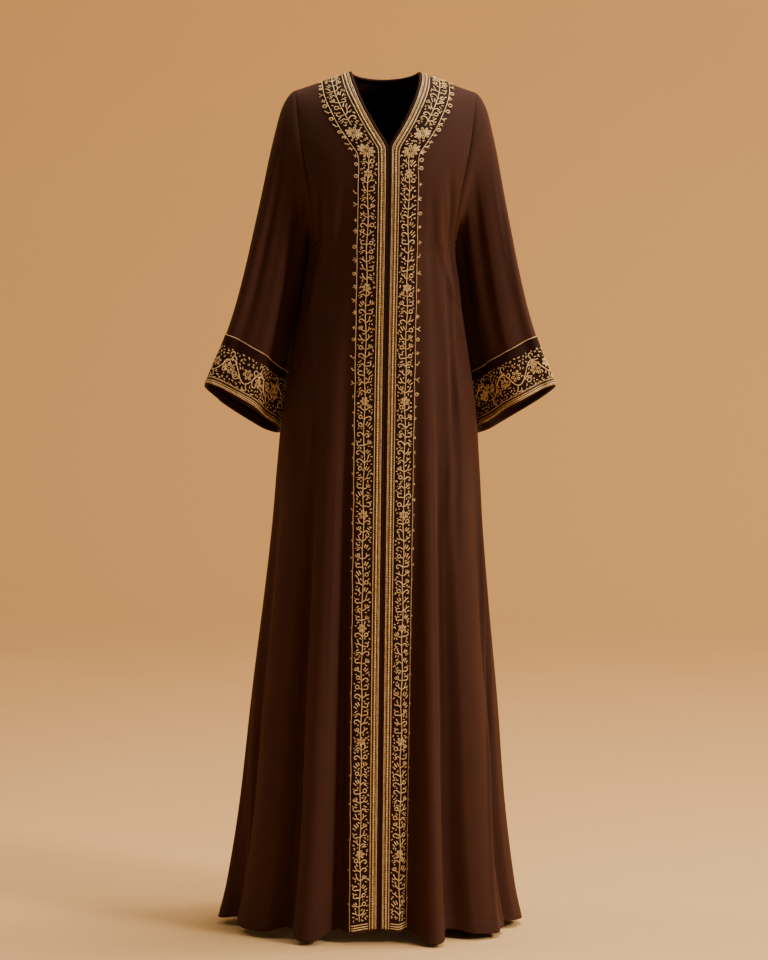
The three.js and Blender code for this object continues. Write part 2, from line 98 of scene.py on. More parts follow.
BODY = {
    "drop": [0, 118, 212, 300, 374, 482, 589, 697, 805, 949, 1128, 1308, 1452, 1520],
    "half": [190, 173, 153, 130, 138, 154, 171, 180, 187, 200, 218, 233, 252, 266],
    "front": [108, 109, 111, 112, 111, 109, 112, 118, 125, 135, 150, 166, 180, 189],
    "back": [92, 94, 95, 93, 91, 93, 101, 112, 121, 133, 148, 165, 181, 191],
}

# Folds: degrees round the hem from the centre front, half width in degrees, how far it stands proud at
# the hem (a trough is negative), and the drop at which it starts.
FOLDS = [
    (0, 16, -12, 700), (-17, 7, -30, 430), (-28, 9.5, 26, 330), (-39.5, 8, -24, 480),
    (-56, 14, 9, 420), (-75, 8, -22, 640), (-88, 8, 9, 620), (12.5, 5.5, -22, 480),
    (20.5, 8.5, 32, 330), (31.5, 8.5, -25, 360), (49, 15, 15, 330), (67, 7.5, -20, 620),
    (84, 11, 7, 600), (-102, 9, -18, 560), (-118, 10, 18, 420), (-136, 10, -22, 380),
    (-153, 11, 20, 300), (-170, 8, -17, 440), (100, 8, -16, 600), (115, 10, 17, 380),
    (132, 9, -21, 440), (148, 10, 19, 320), (165, 9, -20, 360), (180, 8, 14, 520),
]
FOLD_GROWTH = 1.25  # above 1, a fold opens faster towards the hem
OPENING_RISE = {"rise": 8.0, "half": 22.0, "from": 1280.0}  # the front edges ride up at the hem
HEM_SAG = {"share": 0.22, "from": 1280.0}  # a fold that stands proud hangs lower by this share of it

# Soft creases that the solids are too coarse for: where each starts and ends, as hem degrees and drop,
# its half width in degrees and its depth in millimetres. One that ends at 1640 runs out through the hem.
CREASES = [
    (-74, 250, -44, 640, 10, -5.0), (-60, 300, -36, 900, 7, 2.6), (-38, 140, -88, 500, 6, -6.5),
    (-27, 160, -74, 540, 7, 4.5), (-80, 1080, -73, 1640, 3, 5.5), (-86, 1080, -80, 1640, 3.6, -5.0),
    (-22, 640, -21, 1640, 2.6, 4.0), (-35, 700, -34, 1640, 2.6, 4.4), (-40, 600, -39, 1640, 4, -4.0),
    (-16.6, 560, -16.4, 1640, 3.2, -6.0), (48, 300, 41, 880, 6, -5.5),
    (-24, 160, -30, 470, 9, -2.4), (72, 240, 40, 700, 10, -5.2), (58, 320, 36, 860, 6, 2.6),
    (38, 140, 88, 480, 6, -6.0), (28, 170, 74, 540, 7, 4.0), (76, 660, 50, 1640, 3.2, 6.0),
    (82, 660, 55, 1640, 4.2, -7.5), (25.5, 560, 25, 1640, 2.4, 5.0), (15.5, 700, 15, 1640, 2.2, -3.0),
    (30, 620, 29.5, 1640, 2.6, -4.0), (26, 170, 31, 480, 8, -2.2), (-128, 220, -145, 900, 9, -5.0),
    (-108, 280, -126, 760, 8, -4.0), (-142, 330, -128, 1200, 5, 3.0), (-160, 160, -172, 820, 8, -3.0),
    (-146, 700, -150, 1640, 3, 4.0), (128, 230, 142, 880, 9, -5.0), (106, 290, 122, 700, 8, -4.2),
    (140, 420, 156, 1300, 5, 3.2), (162, 180, 174, 760, 8, -3.0), (178, 480, 171, 1400, 4, -2.8),
    (-178, 130, 178, 420, 12, -1.6), (142, 640, 143, 1640, 3, 4.2), (110, 700, 108, 1640, 3, 3.6),
    (-112, 700, -111, 1640, 3, 3.6),
]


def curve_of(keys, values):
    """A smooth curve through values at keys, as a cubic between each two."""
    keys = np.array(keys, float)
    values = np.array(values, float)
    order = np.arange(len(keys))
    before = np.maximum(order - 1, 0)
    after = np.minimum(order + 1, len(keys) - 1)
    shape = (-1,) + (1,) * (values.ndim - 1)
    slopes = (values[after] - values[before]) / (keys[after] - keys[before]).reshape(shape)

    def at(x):
        x = np.asarray(x, float)
        i = np.clip(np.searchsorted(keys, x) - 1, 0, len(keys) - 2)
        span = (keys[i + 1] - keys[i]).reshape(x.shape + (1,) * (values.ndim - 1))
        t = ((x - keys[i]).reshape(span.shape)) / span
        return (
            (1 + 2 * t) * (1 - t) ** 2 * values[i]
            + t * (1 - t) ** 2 * span * slopes[i]
            + t * t * (3 - 2 * t) * values[i + 1]
            + t * t * (t - 1) * span * slopes[i + 1]
        )

    return at


half_at = curve_of(BODY["drop"], BODY["half"])
front_at = curve_of(BODY["drop"], BODY["front"])
back_at = curve_of(BODY["drop"], BODY["back"])


def mix(a, b, t):
    return a + (b - a) * t


def smooth(t):
    t = np.clip(t, 0, 1)
    return t * t * (3 - 2 * t)


def bump(t):
    return np.maximum(1 - t * t, 0) ** 2


def quarter_round(t):
    return np.sqrt(1 - (1 - np.clip(t, 0, 1)) ** 2)


def angle_of(x, drop):
    """Degrees from the centre front to a sideways place on the body's ellipse."""
    return np.degrees(np.arcsin(np.clip(x / half_at(drop), -1, 1)))


BAND_ANGLE = float(angle_of(BAND_EDGE, LENGTH))


def hem_angle(angle, drop):
    """Where the cloth at an angle of the ellipse meets the hem, because folds follow the cloth down."""
    size = np.abs(angle)
    band = angle_of(BAND_EDGE, drop)
    inside = size / band * BAND_ANGLE
    outside = BAND_ANGLE + (size - band) / (90 - band) * (90 - BAND_ANGLE)
    return np.where(size >= 90, angle, np.sign(angle) * np.where(size < band, inside, outside))


def fold_depth(angle, drop):
    at = hem_angle(angle, drop)
    depth = np.zeros(np.broadcast(angle, drop).shape)
    for place, half, out, start in FOLDS:
        away = (at - place + 540) % 360 - 180
        grown = np.clip((drop - start) / (LENGTH - start), 0, None) ** FOLD_GROWTH
        depth = depth + out * bump(away / half) * grown
    for start_at, start, end_at, end, half, out in CREASES:
        t = (drop - start) / (end - start)
        place = start_at + ((end_at - start_at + 540) % 360 - 180) * smooth(t)
        away = (at - place + 540) % 360 - 180
        depth = depth + out * bump(away / half) * bump(2 * np.clip(t, 0, 1) - 1) ** 0.5
    return depth


def body_point(angle, drop):
    angle = np.asarray(angle, float)
    drop = np.asarray(drop, float)
    sine = np.sin(np.radians(angle))
    cosine = np.cos(np.radians(angle))
    half = half_at(drop)
    ahead = front_at(drop) * quarter_round(drop / FRONT_ARCH)
    behind = back_at(drop) * quarter_round(drop / BACK_ARCH)
    deep = np.where(cosine > 0, ahead, behind)
    fold = fold_depth(angle, drop)
    out = fold / np.maximum(np.hypot(deep * sine, half * cosine), 1e-9)
    x = half * sine
    slope = SHOULDER_SLOPE * np.maximum(np.abs(x) - NECK_HALF, 0) * (1 - smooth(drop / UNDERARM))
    rise = OPENING_RISE["rise"] * bump(angle / OPENING_RISE["half"])
    rise = rise * smooth((drop - OPENING_RISE["from"]) / (LENGTH - OPENING_RISE["from"]))
    sag = HEM_SAG["share"] * fold * smooth((drop - HEM_SAG["from"]) / (LENGTH - HEM_SAG["from"]))
    return np.stack([x + deep * sine * out, -cosine * (deep + half * out), rise - sag - drop - slope], -1)


def unit(v):
    return v / np.maximum(np.linalg.norm(v, axis=-1, keepdims=True), 1e-12)


def body_spot(angle, drop):
    """The point of the body's outer face, and its outward normal."""
    step = 0.02
    around = body_point(angle + step, drop) - body_point(angle - step, drop)
    down = body_point(angle, drop + step) - body_point(angle, np.maximum(drop - step, 0))
    return body_point(angle, drop), unit(np.cross(down, around))


def armhole_angle(drop):
    return 90 - (90 - ARMHOLE_ANGLE) * quarter_round((UNDERARM - drop) / ARMHOLE_TURN)


def back_spot(side, drop, centre, share):
    """A point of the back: share runs from -1 at the wearer's right end of a row to 1 at its left end."""
    turn = np.radians(90 * share)
    drop = drop + (centre - drop) * np.cos(turn)
    x = side * np.sin(turn)
    angle = np.where(x < 0, -1, 1) * (180 - angle_of(np.abs(x), drop))
    return body_spot(angle, drop)


def sheet_of(name, points, normals, uv, thickness, closed=False):
    """Cloth with its outer face on a grid of points in millimetres. uv is in metres along the cloth."""
    rows, columns = points.shape[:2]
    bm = bmesh.new()
    bmesh.ops.create_grid(bm, x_segments=columns - 1, y_segments=rows - 1, size=0.5, calc_uvs=False)
    mesh = bpy.data.meshes.new(name)
    bm.to_mesh(mesh)
    flat = np.empty(len(mesh.vertices) * 3)
    mesh.vertices.foreach_get("co", flat)
    column = np.rint((flat[0::3] + 0.5) * (columns - 1)).astype(int)
    row = np.rint((0.5 - flat[1::3]) * (rows - 1)).astype(int)
    mesh.vertices.foreach_set("co", (points[row, column] * MM).ravel())
    layer = mesh.uv_layers.new(name="cloth")
    corner = np.empty(len(mesh.loops), int)
    mesh.loops.foreach_get("vertex_index", corner)
    layer.data.foreach_set("uv", uv[row, column][corner].ravel())
    mesh.update()
    bm.clear()
    bm.from_mesh(mesh)
    bm.normal_update()
    bm.faces.ensure_lookup_table()
    bm.verts.ensure_lookup_table()
    middle = bm.faces[len(bm.faces) // 2]
    corner_at = middle.verts[0].index
    if middle.normal.dot(Vector(normals[row[corner_at], column[corner_at]])) < 0:
        bmesh.ops.reverse_faces(bm, faces=bm.faces)
    if closed:
        bmesh.ops.remove_doubles(bm, verts=bm.verts, dist=1e-6)
    bm.to_mesh(mesh)
    bm.free()
    mesh.shade_smooth()
    piece = in_scene(name, mesh)
    if thickness:
        wall = piece.modifiers.new("thickness", "SOLIDIFY")
        wall.thickness = thickness * MM
        wall.offset = -1
    return piece


def lengths_along(points, axis):
    """Distance run along one direction of a grid, in metres."""
    step = np.linalg.norm(np.diff(points, axis=axis), axis=-1)
    start = np.zeros_like(np.take(step, [0], axis=axis))
    return np.cumsum(np.concatenate([start, step], axis=axis), axis=axis) * MM


def cloth_uv(points):
    return np.stack([lengths_along(points, 1), lengths_along(points, 0)], -1)


def seam_roll(points, normals, from_edge):
    """Draws the cloth in a little beside a seam, where it rolls into the stitching. Lengths in metres."""
    roll_depth, roll_width = 1.1, 0.0028
    return points - normals * (roll_depth * np.exp(-((from_edge / roll_width) ** 2)))[..., None]


def hem_turn(points, normals, drop):
    """The turned-up hem stands a little proud, with a groove where it is stitched."""
    hem_depth, proud, groove = 22.0, 0.3, 0.35
    above = (LENGTH - drop) - hem_depth
    lift = proud * (1 - smooth(above / 3 + 0.5)) - groove * np.exp(-((above / 1.6) ** 2))
    return points + normals * lift[..., None]


def new_material(name):
    material = bpy.data.materials.new(name)
    material.use_nodes = True
    return material, material.node_tree.nodes, material.node_tree.links


def new_group(name, inputs, outputs):
    """A shader node group with named sockets, and its input and output nodes."""
    group = bpy.data.node_groups.new(name, "ShaderNodeTree")
    for label, kind, value in inputs:
        socket = group.interface.new_socket(name=label, in_out="INPUT", socket_type=kind)
        if value is not None:
            socket.default_value = value
    for label, kind in outputs:
        group.interface.new_socket(name=label, in_out="OUTPUT", socket_type=kind)
    return group, group.nodes.new("NodeGroupInput"), group.nodes.new("NodeGroupOutput")


def add_math(tree, operation, first, second):
    node = tree.nodes.new("ShaderNodeMath")
    node.operation = operation
    for socket, value in zip(node.inputs, (first, second)):
        if isinstance(value, (int, float)):
            socket.default_value = value
        else:
            tree.links.new(value, socket)
    return node.outputs[0]


# Crepe: a fine plain weave of crimped threads. Height feeds a bump, and Shade varies the colour.
weave, weave_in, weave_out = new_group(
    "weave",
    [
        ("Vector", "NodeSocketVector", None),
        ("Pitch", "NodeSocketFloat", 0.6),
        ("Crimp", "NodeSocketFloat", 0.5),
    ],
    [("Height", "NodeSocketFloat"), ("Shade", "NodeSocketFloat")],
)
waves_per_metre = add_math(weave, "DIVIDE", 314.16, weave_in.outputs["Pitch"])
threads = []
for direction in ("X", "Y"):
    wave = weave.nodes.new("ShaderNodeTexWave")
    wave.bands_direction = direction
    wave.inputs["Distortion"].default_value = 1.2
    wave.inputs["Detail"].default_value = 1.0
    weave.links.new(weave_in.outputs["Vector"], wave.inputs["Vector"])
    weave.links.new(waves_per_metre, wave.inputs["Scale"])
    threads.append(wave.outputs["Fac"])
crimp = weave.nodes.new("ShaderNodeTexNoise")
crimp.inputs["Detail"].default_value = 3.0
weave.links.new(weave_in.outputs["Vector"], crimp.inputs["Vector"])
weave.links.new(add_math(weave, "DIVIDE", 900.0, weave_in.outputs["Pitch"]), crimp.inputs["Scale"])
crossing = add_math(weave, "MULTIPLY", threads[0], threads[1])
crimped = add_math(weave, "MULTIPLY", crimp.outputs["Fac"], weave_in.outputs["Crimp"])
height = add_math(weave, "ADD", crossing, crimped)
weave.links.new(height, weave_out.inputs["Height"])
drift = weave.nodes.new("ShaderNodeTexNoise")
drift.inputs["Scale"].default_value = 16.0
drift.inputs["Detail"].default_value = 4.0
weave.links.new(weave_in.outputs["Vector"], drift.inputs["Vector"])
speckle = add_math(weave, "MULTIPLY", height, 0.25)
weave.links.new(add_math(weave, "ADD", drift.outputs["Fac"], speckle), weave_out.inputs["Shade"])


def thread_material(name, group, shades, colours, strength, relief):
    """A material in which a group's thread pattern varies the colour and raises the surface."""
    material, nodes, links = new_material(name)
    shader = nodes["Principled BSDF"]
    pattern = nodes.new("ShaderNodeGroup")
    pattern.node_tree = group
    ramp = nodes.new("ShaderNodeValToRGB")
    for element, shade, colour in zip(ramp.color_ramp.elements, shades, colours):
        element.position = shade
        element.color = (*colour, 1)
    links.new(pattern.outputs["Shade"], ramp.inputs["Fac"])
    links.new(ramp.outputs["Color"], shader.inputs["Base Color"])
    bump_node = nodes.new("ShaderNodeBump")
    bump_node.inputs["Strength"].default_value = strength
    bump_node.inputs["Distance"].default_value = relief * MM
    links.new(pattern.outputs["Height"], bump_node.inputs["Height"])
    links.new(bump_node.outputs["Normal"], shader.inputs["Normal"])
    return material, pattern, shader


def cloth_material(name, dark, light, pitch, crimp, roughness, gloss, sheen, relief):
    """Woven cloth: two close colours mixed by the weave, with a soft sheen. pitch and relief in mm."""
    material, pattern, shader = thread_material(name, weave, (0.35, 0.95), (dark, light), 0.5, relief)
    uv = material.node_tree.nodes.new("ShaderNodeUVMap")
    uv.uv_map = "cloth"
    material.node_tree.links.new(uv.outputs["UV"], pattern.inputs["Vector"])
    pattern.inputs["Pitch"].default_value = pitch
    pattern.inputs["Crimp"].default_value = crimp
    shader.inputs["Roughness"].default_value = roughness
    shader.inputs["Specular IOR Level"].default_value = gloss
    shader.inputs["Sheen Weight"].default_value = sheen
    shader.inputs["Sheen Roughness"].default_value = 0.45
    shader.inputs["Sheen Tint"].default_value = (0.62, 0.24, 0.11, 1)
    return material


crepe = cloth_material(
    "brown_crepe", dark=(0.041, 0.0119, 0.0056), light=(0.054, 0.0161, 0.0077),
    pitch=0.55, crimp=0.6, roughness=0.8, gloss=0.2, sheen=0.09, relief=0.12,
)


def dress(piece, material, slot, *nodes):
    """Gives a piece its finish and its place in the frame."""
    piece.data.materials.append(material)
    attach(piece, "root")
    if nodes:
        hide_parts(*nodes)
    return piece


CLOTH_SHOWN = 1.0  # thickness of the crepe as it is seen
BACK_COLUMNS = 150
SEAM_ROWS = 26  # along the shoulder seam
ARM_DROPS = 46  # down to the underarm
SKIRT_DROPS = 106
HEM_DROPS = 16  # across the stitched hem


def body_drops():
    """Rows from the shoulder to the hem, closest at the shoulder's turn and at the stitched hem."""
    top = UNDERARM * np.linspace(0, 1, ARM_DROPS)[1:] ** 1.5
    rest = np.linspace(UNDERARM, LENGTH - 30, SKIRT_DROPS)[1:]
    return np.concatenate([top, rest, np.linspace(LENGTH - 27, LENGTH, HEM_DROPS)])


seam_x = np.linspace(NECK_HALF + CLOTH_EDGE, SHOULDER_TIP, SEAM_ROWS)
drops = body_drops()
row_side = np.concatenate([
    seam_x,
    half_at(drops) * np.sin(np.radians(np.where(drops < UNDERARM, armhole_angle(drops), 90.0))),
])
row_drop = np.concatenate([np.zeros(SEAM_ROWS), drops])
row_centre = np.concatenate([
    mix(NECK_BACK, BACK_LEAD, (seam_x - NECK_HALF) / (SHOULDER_TIP - NECK_HALF)),
    drops + BACK_LEAD * np.maximum(1 - drops / UNDERARM, 0) ** 1.3,
])
shares = np.linspace(-1, 1, BACK_COLUMNS + 1)
points, normals = back_spot(row_side[:, None], row_drop[:, None], row_centre[:, None], shares[None, :])
uv = cloth_uv(points)
across = uv[..., 0]
points = seam_roll(points, normals, np.minimum(across, across[:, -1:] - across))
points = hem_turn(points, normals, row_drop[:, None])
back = dress(sheet_of("crepe_back", points, normals, uv, CLOTH_SHOWN), crepe, "cloth", "back")

# ---- Fronts ---------------------------------------------------------------------------------------
# Two mirror-image pieces of the same crepe, each cut from the shoulder seam to the hem. Their edges meet
# at the centre all the way down below the V.

EDGE_COLUMNS = 14  # under the trim
SIDE_COLUMNS = 92  # from the trim to the side seam
SOFT_TURN = 3.0  # rounds the lines beside the edge at the point of the V


def neck_half(drop):
    """Half width of the neckline. Past the point of the V it goes on, below zero."""
    t = drop / NECK_FRONT
    inside = NECK_HALF * (1 - np.clip(t, 0, 1) ** NECK_CURVE)
    return np.where(t <= 1, inside, -NECK_HALF * NECK_CURVE * (t - 1))


def beside_edge(distance, drop):
    """Sideways place of a line at a distance from the neckline and then from the front edge."""
    steep = NECK_HALF * NECK_CURVE / NECK_FRONT * np.clip(drop / NECK_FRONT, 0, 1) ** (NECK_CURVE - 1)
    beside_neck = neck_half(drop) + distance * np.hypot(1, steep)
    return (distance + beside_neck + np.hypot(distance - beside_neck, SOFT_TURN)) / 2


def front_spot(side, distance, drop):
    """A point of a front by its distance from the edge. side is -1 for the wearer's right."""
    distance, drop = np.broadcast_arrays(np.asarray(distance, float), np.asarray(drop, float))
    return body_spot(side * angle_of(beside_edge(distance, drop), drop), drop)


front_drops = np.concatenate([[0.0], drops])[:, None]
band_at = angle_of(beside_edge(BAND_EDGE, front_drops), front_drops)
edge_at = np.where(front_drops < UNDERARM, armhole_angle(front_drops), 90.0)
lines = np.linspace(CLOTH_EDGE, BAND_EDGE, EDGE_COLUMNS)[None, :]
edge_part = angle_of(beside_edge(lines, front_drops), front_drops)
side_shares = np.append(np.linspace(0, 1, SIDE_COLUMNS)[1:-1], [0.994, 0.998, 1.0])
side_part = mix(band_at, edge_at, side_shares[None, :])
front_angles = np.concatenate([edge_part, side_part], 1)
for side, name in ((-1, "right"), (1, "left")):
    points, normals = body_spot(side * front_angles, front_drops)
    uv = cloth_uv(points)
    points = seam_roll(points, normals, uv[:, -1:, 0] - uv[..., 0])
    points = seam_roll(points, normals, uv[..., 1])
    points = hem_turn(points, normals, front_drops)
    front = sheet_of(f"crepe_front_{name}", points, normals, uv, CLOTH_SHOWN)
    dress(front, crepe, "cloth", f"front_{name}")

# ---- Sleeves --------------------------------------------------------------------------------------
# Set-in sleeves of the same crepe. Each widens from a deep armhole to an open bell at the hem, hangs a
# little forward with the arm, and falls into long soft folds from the shoulder.

# Depths down the armhole, which the sleeve's rings start from.
ARM_ROWS = [0, 2, 8, 20, 42, 78, NECK_FRONT, 150, 190, 230, 262, 285, UNDERARM]
# The rings below it: the outer and inner line, the two half depths, how far each ring swings forward,
# how much higher its front hangs, and how far its inner line hangs back beside the body.
SLEEVE = {
    "outX": [172, 182.5, 192.5, 203, 214.5, 227, 241, 258, 276.5, 292, 306, 310.5, 312],
    "outZ": [-46, -68, -106, -153, -212, -272, -338, -408, -468, -507, -541, -553, -556.5],
    "inX": [132.0, 129.5, 126.5, 126.5, 132, 137.5, 144, 151.5, 158.5, 166, 172, 173.7, 174.2],
    "inZ": [-296.5, -300, -319, -346, -386, -428, -472, -514, -548, -588, -629, -644, -648],
    "front": [54, 55, 54, 52, 51, 50, 50, 50, 51, 53, 54, 55, 55],
    "back": [47, 46, 46, 46, 45, 45, 45, 46, 46, 47, 48, 49, 49],
    "ahead": [0, 0, 1, 3, 5, 8, 10, 12, 13, 14, 14, 14, 14],
    "tip": [0, 0, 0, 1, 3, 5, 8, 11, 14, 16, 18, 19, 19],
    "tuck": [4, 20, 38, 50, 56, 60, 62, 62, 61, 59, 56, 54, 54],
}
SLEEVE_RINGS = 13
SLEEVE_EASE = 3  # rings over which the armhole's outline turns into an ellipse
# Folds: degrees round the sleeve from its outer line towards the front, half width, depth, and the
# rings between which each grows.
SLEEVE_FOLDS = [
    (52, 24, -7, 1, 9), (92, 22, 6, 2, 10), (128, 22, -8, 1, 8),
    (236, 26, -7, 1, 9), (284, 28, 5, 2, 10), (318, 18, -6, 2, 9),
]
# Creases on the wearer's right and left sleeve: degrees, half width, depth, and the rings between which
# each shows.
SLEEVE_CREASES = {
    -1: [(48, 15, -3.5, 1, 10), (84, 13, 4.5, 1, 12), (107, 11, -8.5, 0.3, 11), (127, 12, 5.0, 0.4, 9),
         (152, 13, -7.0, 0.3, 10), (214, 11, 2.4, 3, 9), (240, 12, -4.4, 1, 10), (262, 12, 3.4, 2, 10),
         (300, 12, -3.6, 1, 9), (338, 10, -2.2, 3, 8)],
    1: [(30, 13, -2.4, 3, 8), (87, 12, -5.5, 1, 12), (107, 11, 5.0, 1, 12), (131, 12, -8.5, 0.3, 11),
        (152, 11, 3.5, 0.6, 9), (208, 12, -4.0, 1, 9), (232, 11, 3.2, 2, 10), (256, 12, -4.6, 1, 11),
        (290, 12, 3.0, 2, 9), (322, 11, -3.0, 2, 8)],
}
CREASE_LEAN = 8.0  # degrees that a crease wanders forwards on its way down
AROUND = 120
SLEEVE_ROWS = 130


def sleeve_rings(side):
    """The sleeve's rings in millimetres, from the armhole to the hem, each an array of points."""
    share = np.arange(AROUND) / AROUND
    knot = share * 2 * (len(ARM_ROWS) - 1)
    steps = np.arange(len(ARM_ROWS))
    is_front = knot <= len(ARM_ROWS) - 1
    drop = np.interp(np.where(is_front, knot, 2 * (len(ARM_ROWS) - 1) - knot), steps, ARM_ROWS)
    angle = np.where(is_front, armhole_angle(drop), 180 - armhole_angle(drop))
    loop, _ = body_spot(side * angle, drop)
    top, bottom = loop[0], loop[AROUND // 2]
    turn = np.degrees(np.arccos(np.clip(2 * (loop[:, 2] - bottom[2]) / (top[2] - bottom[2]) - 1, -1, 1)))
    turn = np.where(is_front, turn, 360 - turn)

    def ellipse(row, at):
        sine, cosine = np.sin(np.radians(at)), np.cos(np.radians(at))
        deep = np.where(sine > 0, row["front"], row["back"])
        middle_z, half_z = mix(row["inZ"], row["outZ"], 0.5), (row["outZ"] - row["inZ"]) / 2
        return np.stack([
            side * (mix(row["inX"], row["outX"], 0.5) + (row["outX"] - row["inX"]) / 2 * cosine),
            row["tuck"] * (1 - cosine) / 2 - row["ahead"] - deep * sine,
            middle_z + half_z * cosine + row["tip"] * sine,
        ], -1)

    first = {key: column[0] for key, column in SLEEVE.items()}
    first.update(outX=side * top[0], outZ=top[2], inX=side * bottom[0], inZ=bottom[2])
    first.update(ahead=0, tip=0, tuck=0)
    own = loop - ellipse(first, turn)
    rings, turns = [loop], [turn]
    for r in range(SLEEVE_RINGS):
        even = mix(turn, 360 * share, smooth((r + 1) / SLEEVE_RINGS))
        kept = 1 - smooth((r + 1) / SLEEVE_EASE)
        rings.append(ellipse({key: column[r] for key, column in SLEEVE.items()}, even) + own * kept)
        turns.append(even)
    return np.array(rings), np.array(turns)


def grid_normals(grid, side):
    """Outward normals of closed rings of points."""
    down = np.gradient(grid, axis=0)
    around = np.roll(grid, -1, axis=1) - np.roll(grid, 1, axis=1)
    return unit(np.cross(around, down)) * side


def sleeve_surface(side, ring):
    """Points and normals of the sleeve at fractional ring numbers, all the way round."""
    rings, turns = sleeve_rings(side)
    numbers = np.arange(SLEEVE_RINGS + 1)
    grid = curve_of(numbers, rings)(ring)
    turn = curve_of(numbers, turns)(ring)
    normals = grid_normals(grid, side)
    depth = np.zeros(turn.shape)
    for place, half, out, start, full in SLEEVE_FOLDS:
        depth += out * bump((turn - place) / half) * smooth((ring[:, None] - start) / (full - start))
    for place, half, out, start, end in SLEEVE_CREASES[side]:
        t = (ring[:, None] - start) / (end - start)
        along = place + CREASE_LEAN * t
        depth += out * bump((turn - along) / half) * bump(2 * np.clip(t, 0, 1) - 1)
    grid = grid + normals * depth[..., None]
    return grid, grid_normals(grid, side)


def closed_rows(grid):
    return np.concatenate([grid, grid[:, :1]], 1)


for side, name in ((-1, "right"), (1, "left")):
    ring = np.concatenate([np.linspace(0, 1, 16)[:-1], np.linspace(1, SLEEVE_RINGS, SLEEVE_ROWS - 15)])
    grid, normals = sleeve_surface(side, ring)
    normals[0] = normals[1]
    uv = cloth_uv(closed_rows(grid))
    rolled = seam_roll(closed_rows(grid), closed_rows(normals), uv[..., 1])
    sleeve = sheet_of(f"crepe_sleeve_{name}", rolled, closed_rows(normals), uv, CLOTH_SHOWN, closed=True)
    dress(sleeve, crepe, "cloth", f"sleeve_{name}")

# ---- Edge binding ---------------------------------------------------------------------------------
# A narrow folded strip of darker satin-weave cloth. It wraps the raw edge from one front hem up round
# the neck and down to the other hem, and its two halves meet edge to edge down the centre.

dark_satin = cloth_material(
    "dark_satin", dark=(0.017, 0.0044, 0.002), light=(0.030, 0.0078, 0.0034),
    pitch=0.4, crimp=0.3, roughness=0.62, gloss=0.1, sheen=0.03, relief=0.08,
)
TRIM_END = 1516.0  # depth at which the bands and the braid stop above the hem
SHOULDER_TURN = 34.0  # depth down to which the rows of the trim crowd together
BINDING_END = 5.0
# The fold's section: distance from the finished edge, and height over the crepe's face.
BINDING_FOLD = [
    (BINDING_END, 0.5), (4.6, 1.5), (3.0, 1.9), (1.2, 1.7), (0.3, 1.0), (0.1, -0.2),
    (0.3, -1.6), (1.2, -2.3), (3.0, -2.5), (BINDING_END, -1.9),
]


def drops_down(first, over, below, lowest=TRIM_END):
    """Depths down a front: so many over the shoulder's turn, from a share of it, and so many below."""
    arch = SHOULDER_TURN * np.linspace(first, 1, over) ** 2
    return np.concatenate([arch, np.linspace(SHOULDER_TURN, lowest, below)[1:]])


def along_edge(distance, lowest, step):
    """Spots along the whole edge: up the right front, round the back neck and down the left front.
    distance is a list of distances from the edge, one for each column."""
    distance = np.asarray(distance, float)[None, :]
    below = int((lowest - SHOULDER_TURN) / step)
    front = drops_down(0, max(int(62 / step), 8), below, lowest)[:, None]
    right = front_spot(-1, distance, front[::-1])
    left = front_spot(1, distance, front)
    share = np.linspace(-1, 1, int(150 / step) + 12)[1:-1, None]
    centre = mix(NECK_BACK, BACK_LEAD, distance / (SHOULDER_TIP - NECK_HALF))
    nape = back_spot(NECK_HALF + distance, 0.0, centre, share)
    return [np.concatenate(parts) for parts in zip(right, nape, left)]


fold = np.array(BINDING_FOLD)
points, normals = along_edge(fold[:, 0], LENGTH - 0.5, 7.0)
points = points + normals * fold[None, :, 1:2]
binding = sheet_of("satin_binding", points, -normals, cloth_uv(points), 0)
mesh = binding.data
bm = bmesh.new()
bm.from_mesh(mesh)
bmesh.ops.solidify(bm, geom=bm.faces[:], thickness=0.5 * MM)
bmesh.ops.recalc_face_normals(bm, faces=bm.faces)
bm.to_mesh(mesh)
bm.free()
dress(binding, dark_satin, "dark_cloth", "edge_binding")

# ---- Front bands ----------------------------------------------------------------------------------
# A strip of the dark satin on each front, laid from the shoulder seam to just above the hem and stitched
# down. It is the ground for the embroidery.

BAND_HEIGHT = 1.3  # over the crepe's face
BAND_START = 18.8  # distance from the edge
band_drops = drops_down(0.02, 12, 230)[:, None]
band_lines = np.linspace(BAND_START, BAND_EDGE + 0.6, 12)[None, :]
for side, name in ((-1, "right"), (1, "left")):
    points, normals = front_spot(side, band_lines, band_drops)
    points = points + normals * BAND_HEIGHT
    band = sheet_of(f"satin_band_{name}", points, normals, cloth_uv(points), 0.8)
    dress(band, dark_satin, "dark_cloth", f"front_band_{name}")

# ---- Gold braid round the neck and down the fronts --------------------------------------------------
# A woven braid of metallised thread, stitched beside the binding: a dark bronze ground, a thick and a thin
# cord on the inner side, one on the outer side, and a row of small beads along the middle.

twist, twist_in, twist_out = new_group(
    "twisted_thread",
    [("Vector", "NodeSocketVector", None), ("Twists", "NodeSocketFloat", 500.0)],
    [("Height", "NodeSocketFloat"), ("Shade", "NodeSocketFloat")],
)
slant = twist.nodes.new("ShaderNodeTexWave")
slant.bands_direction = "DIAGONAL"
slant.inputs["Distortion"].default_value = 0.6
twist.links.new(twist_in.outputs["Vector"], slant.inputs["Vector"])
twist.links.new(twist_in.outputs["Twists"], slant.inputs["Scale"])
twist.links.new(slant.outputs["Fac"], twist_out.inputs["Height"])
lustre = twist.nodes.new("ShaderNodeTexNoise")
lustre.inputs["Scale"].default_value = 170.0
lustre.inputs["Detail"].default_value = 3.0
twist.links.new(twist_in.outputs["Vector"], lustre.inputs["Vector"])
# Painted shade in the twist's hollows; the noise adds the gilt's uneven tone and painted highlights.
twist_hollow_shade = add_math(twist, "MULTIPLY", slant.outputs["Fac"], 0.3)
gilt_tone_and_glints = add_math(twist, "MULTIPLY", lustre.outputs["Fac"], 0.8)
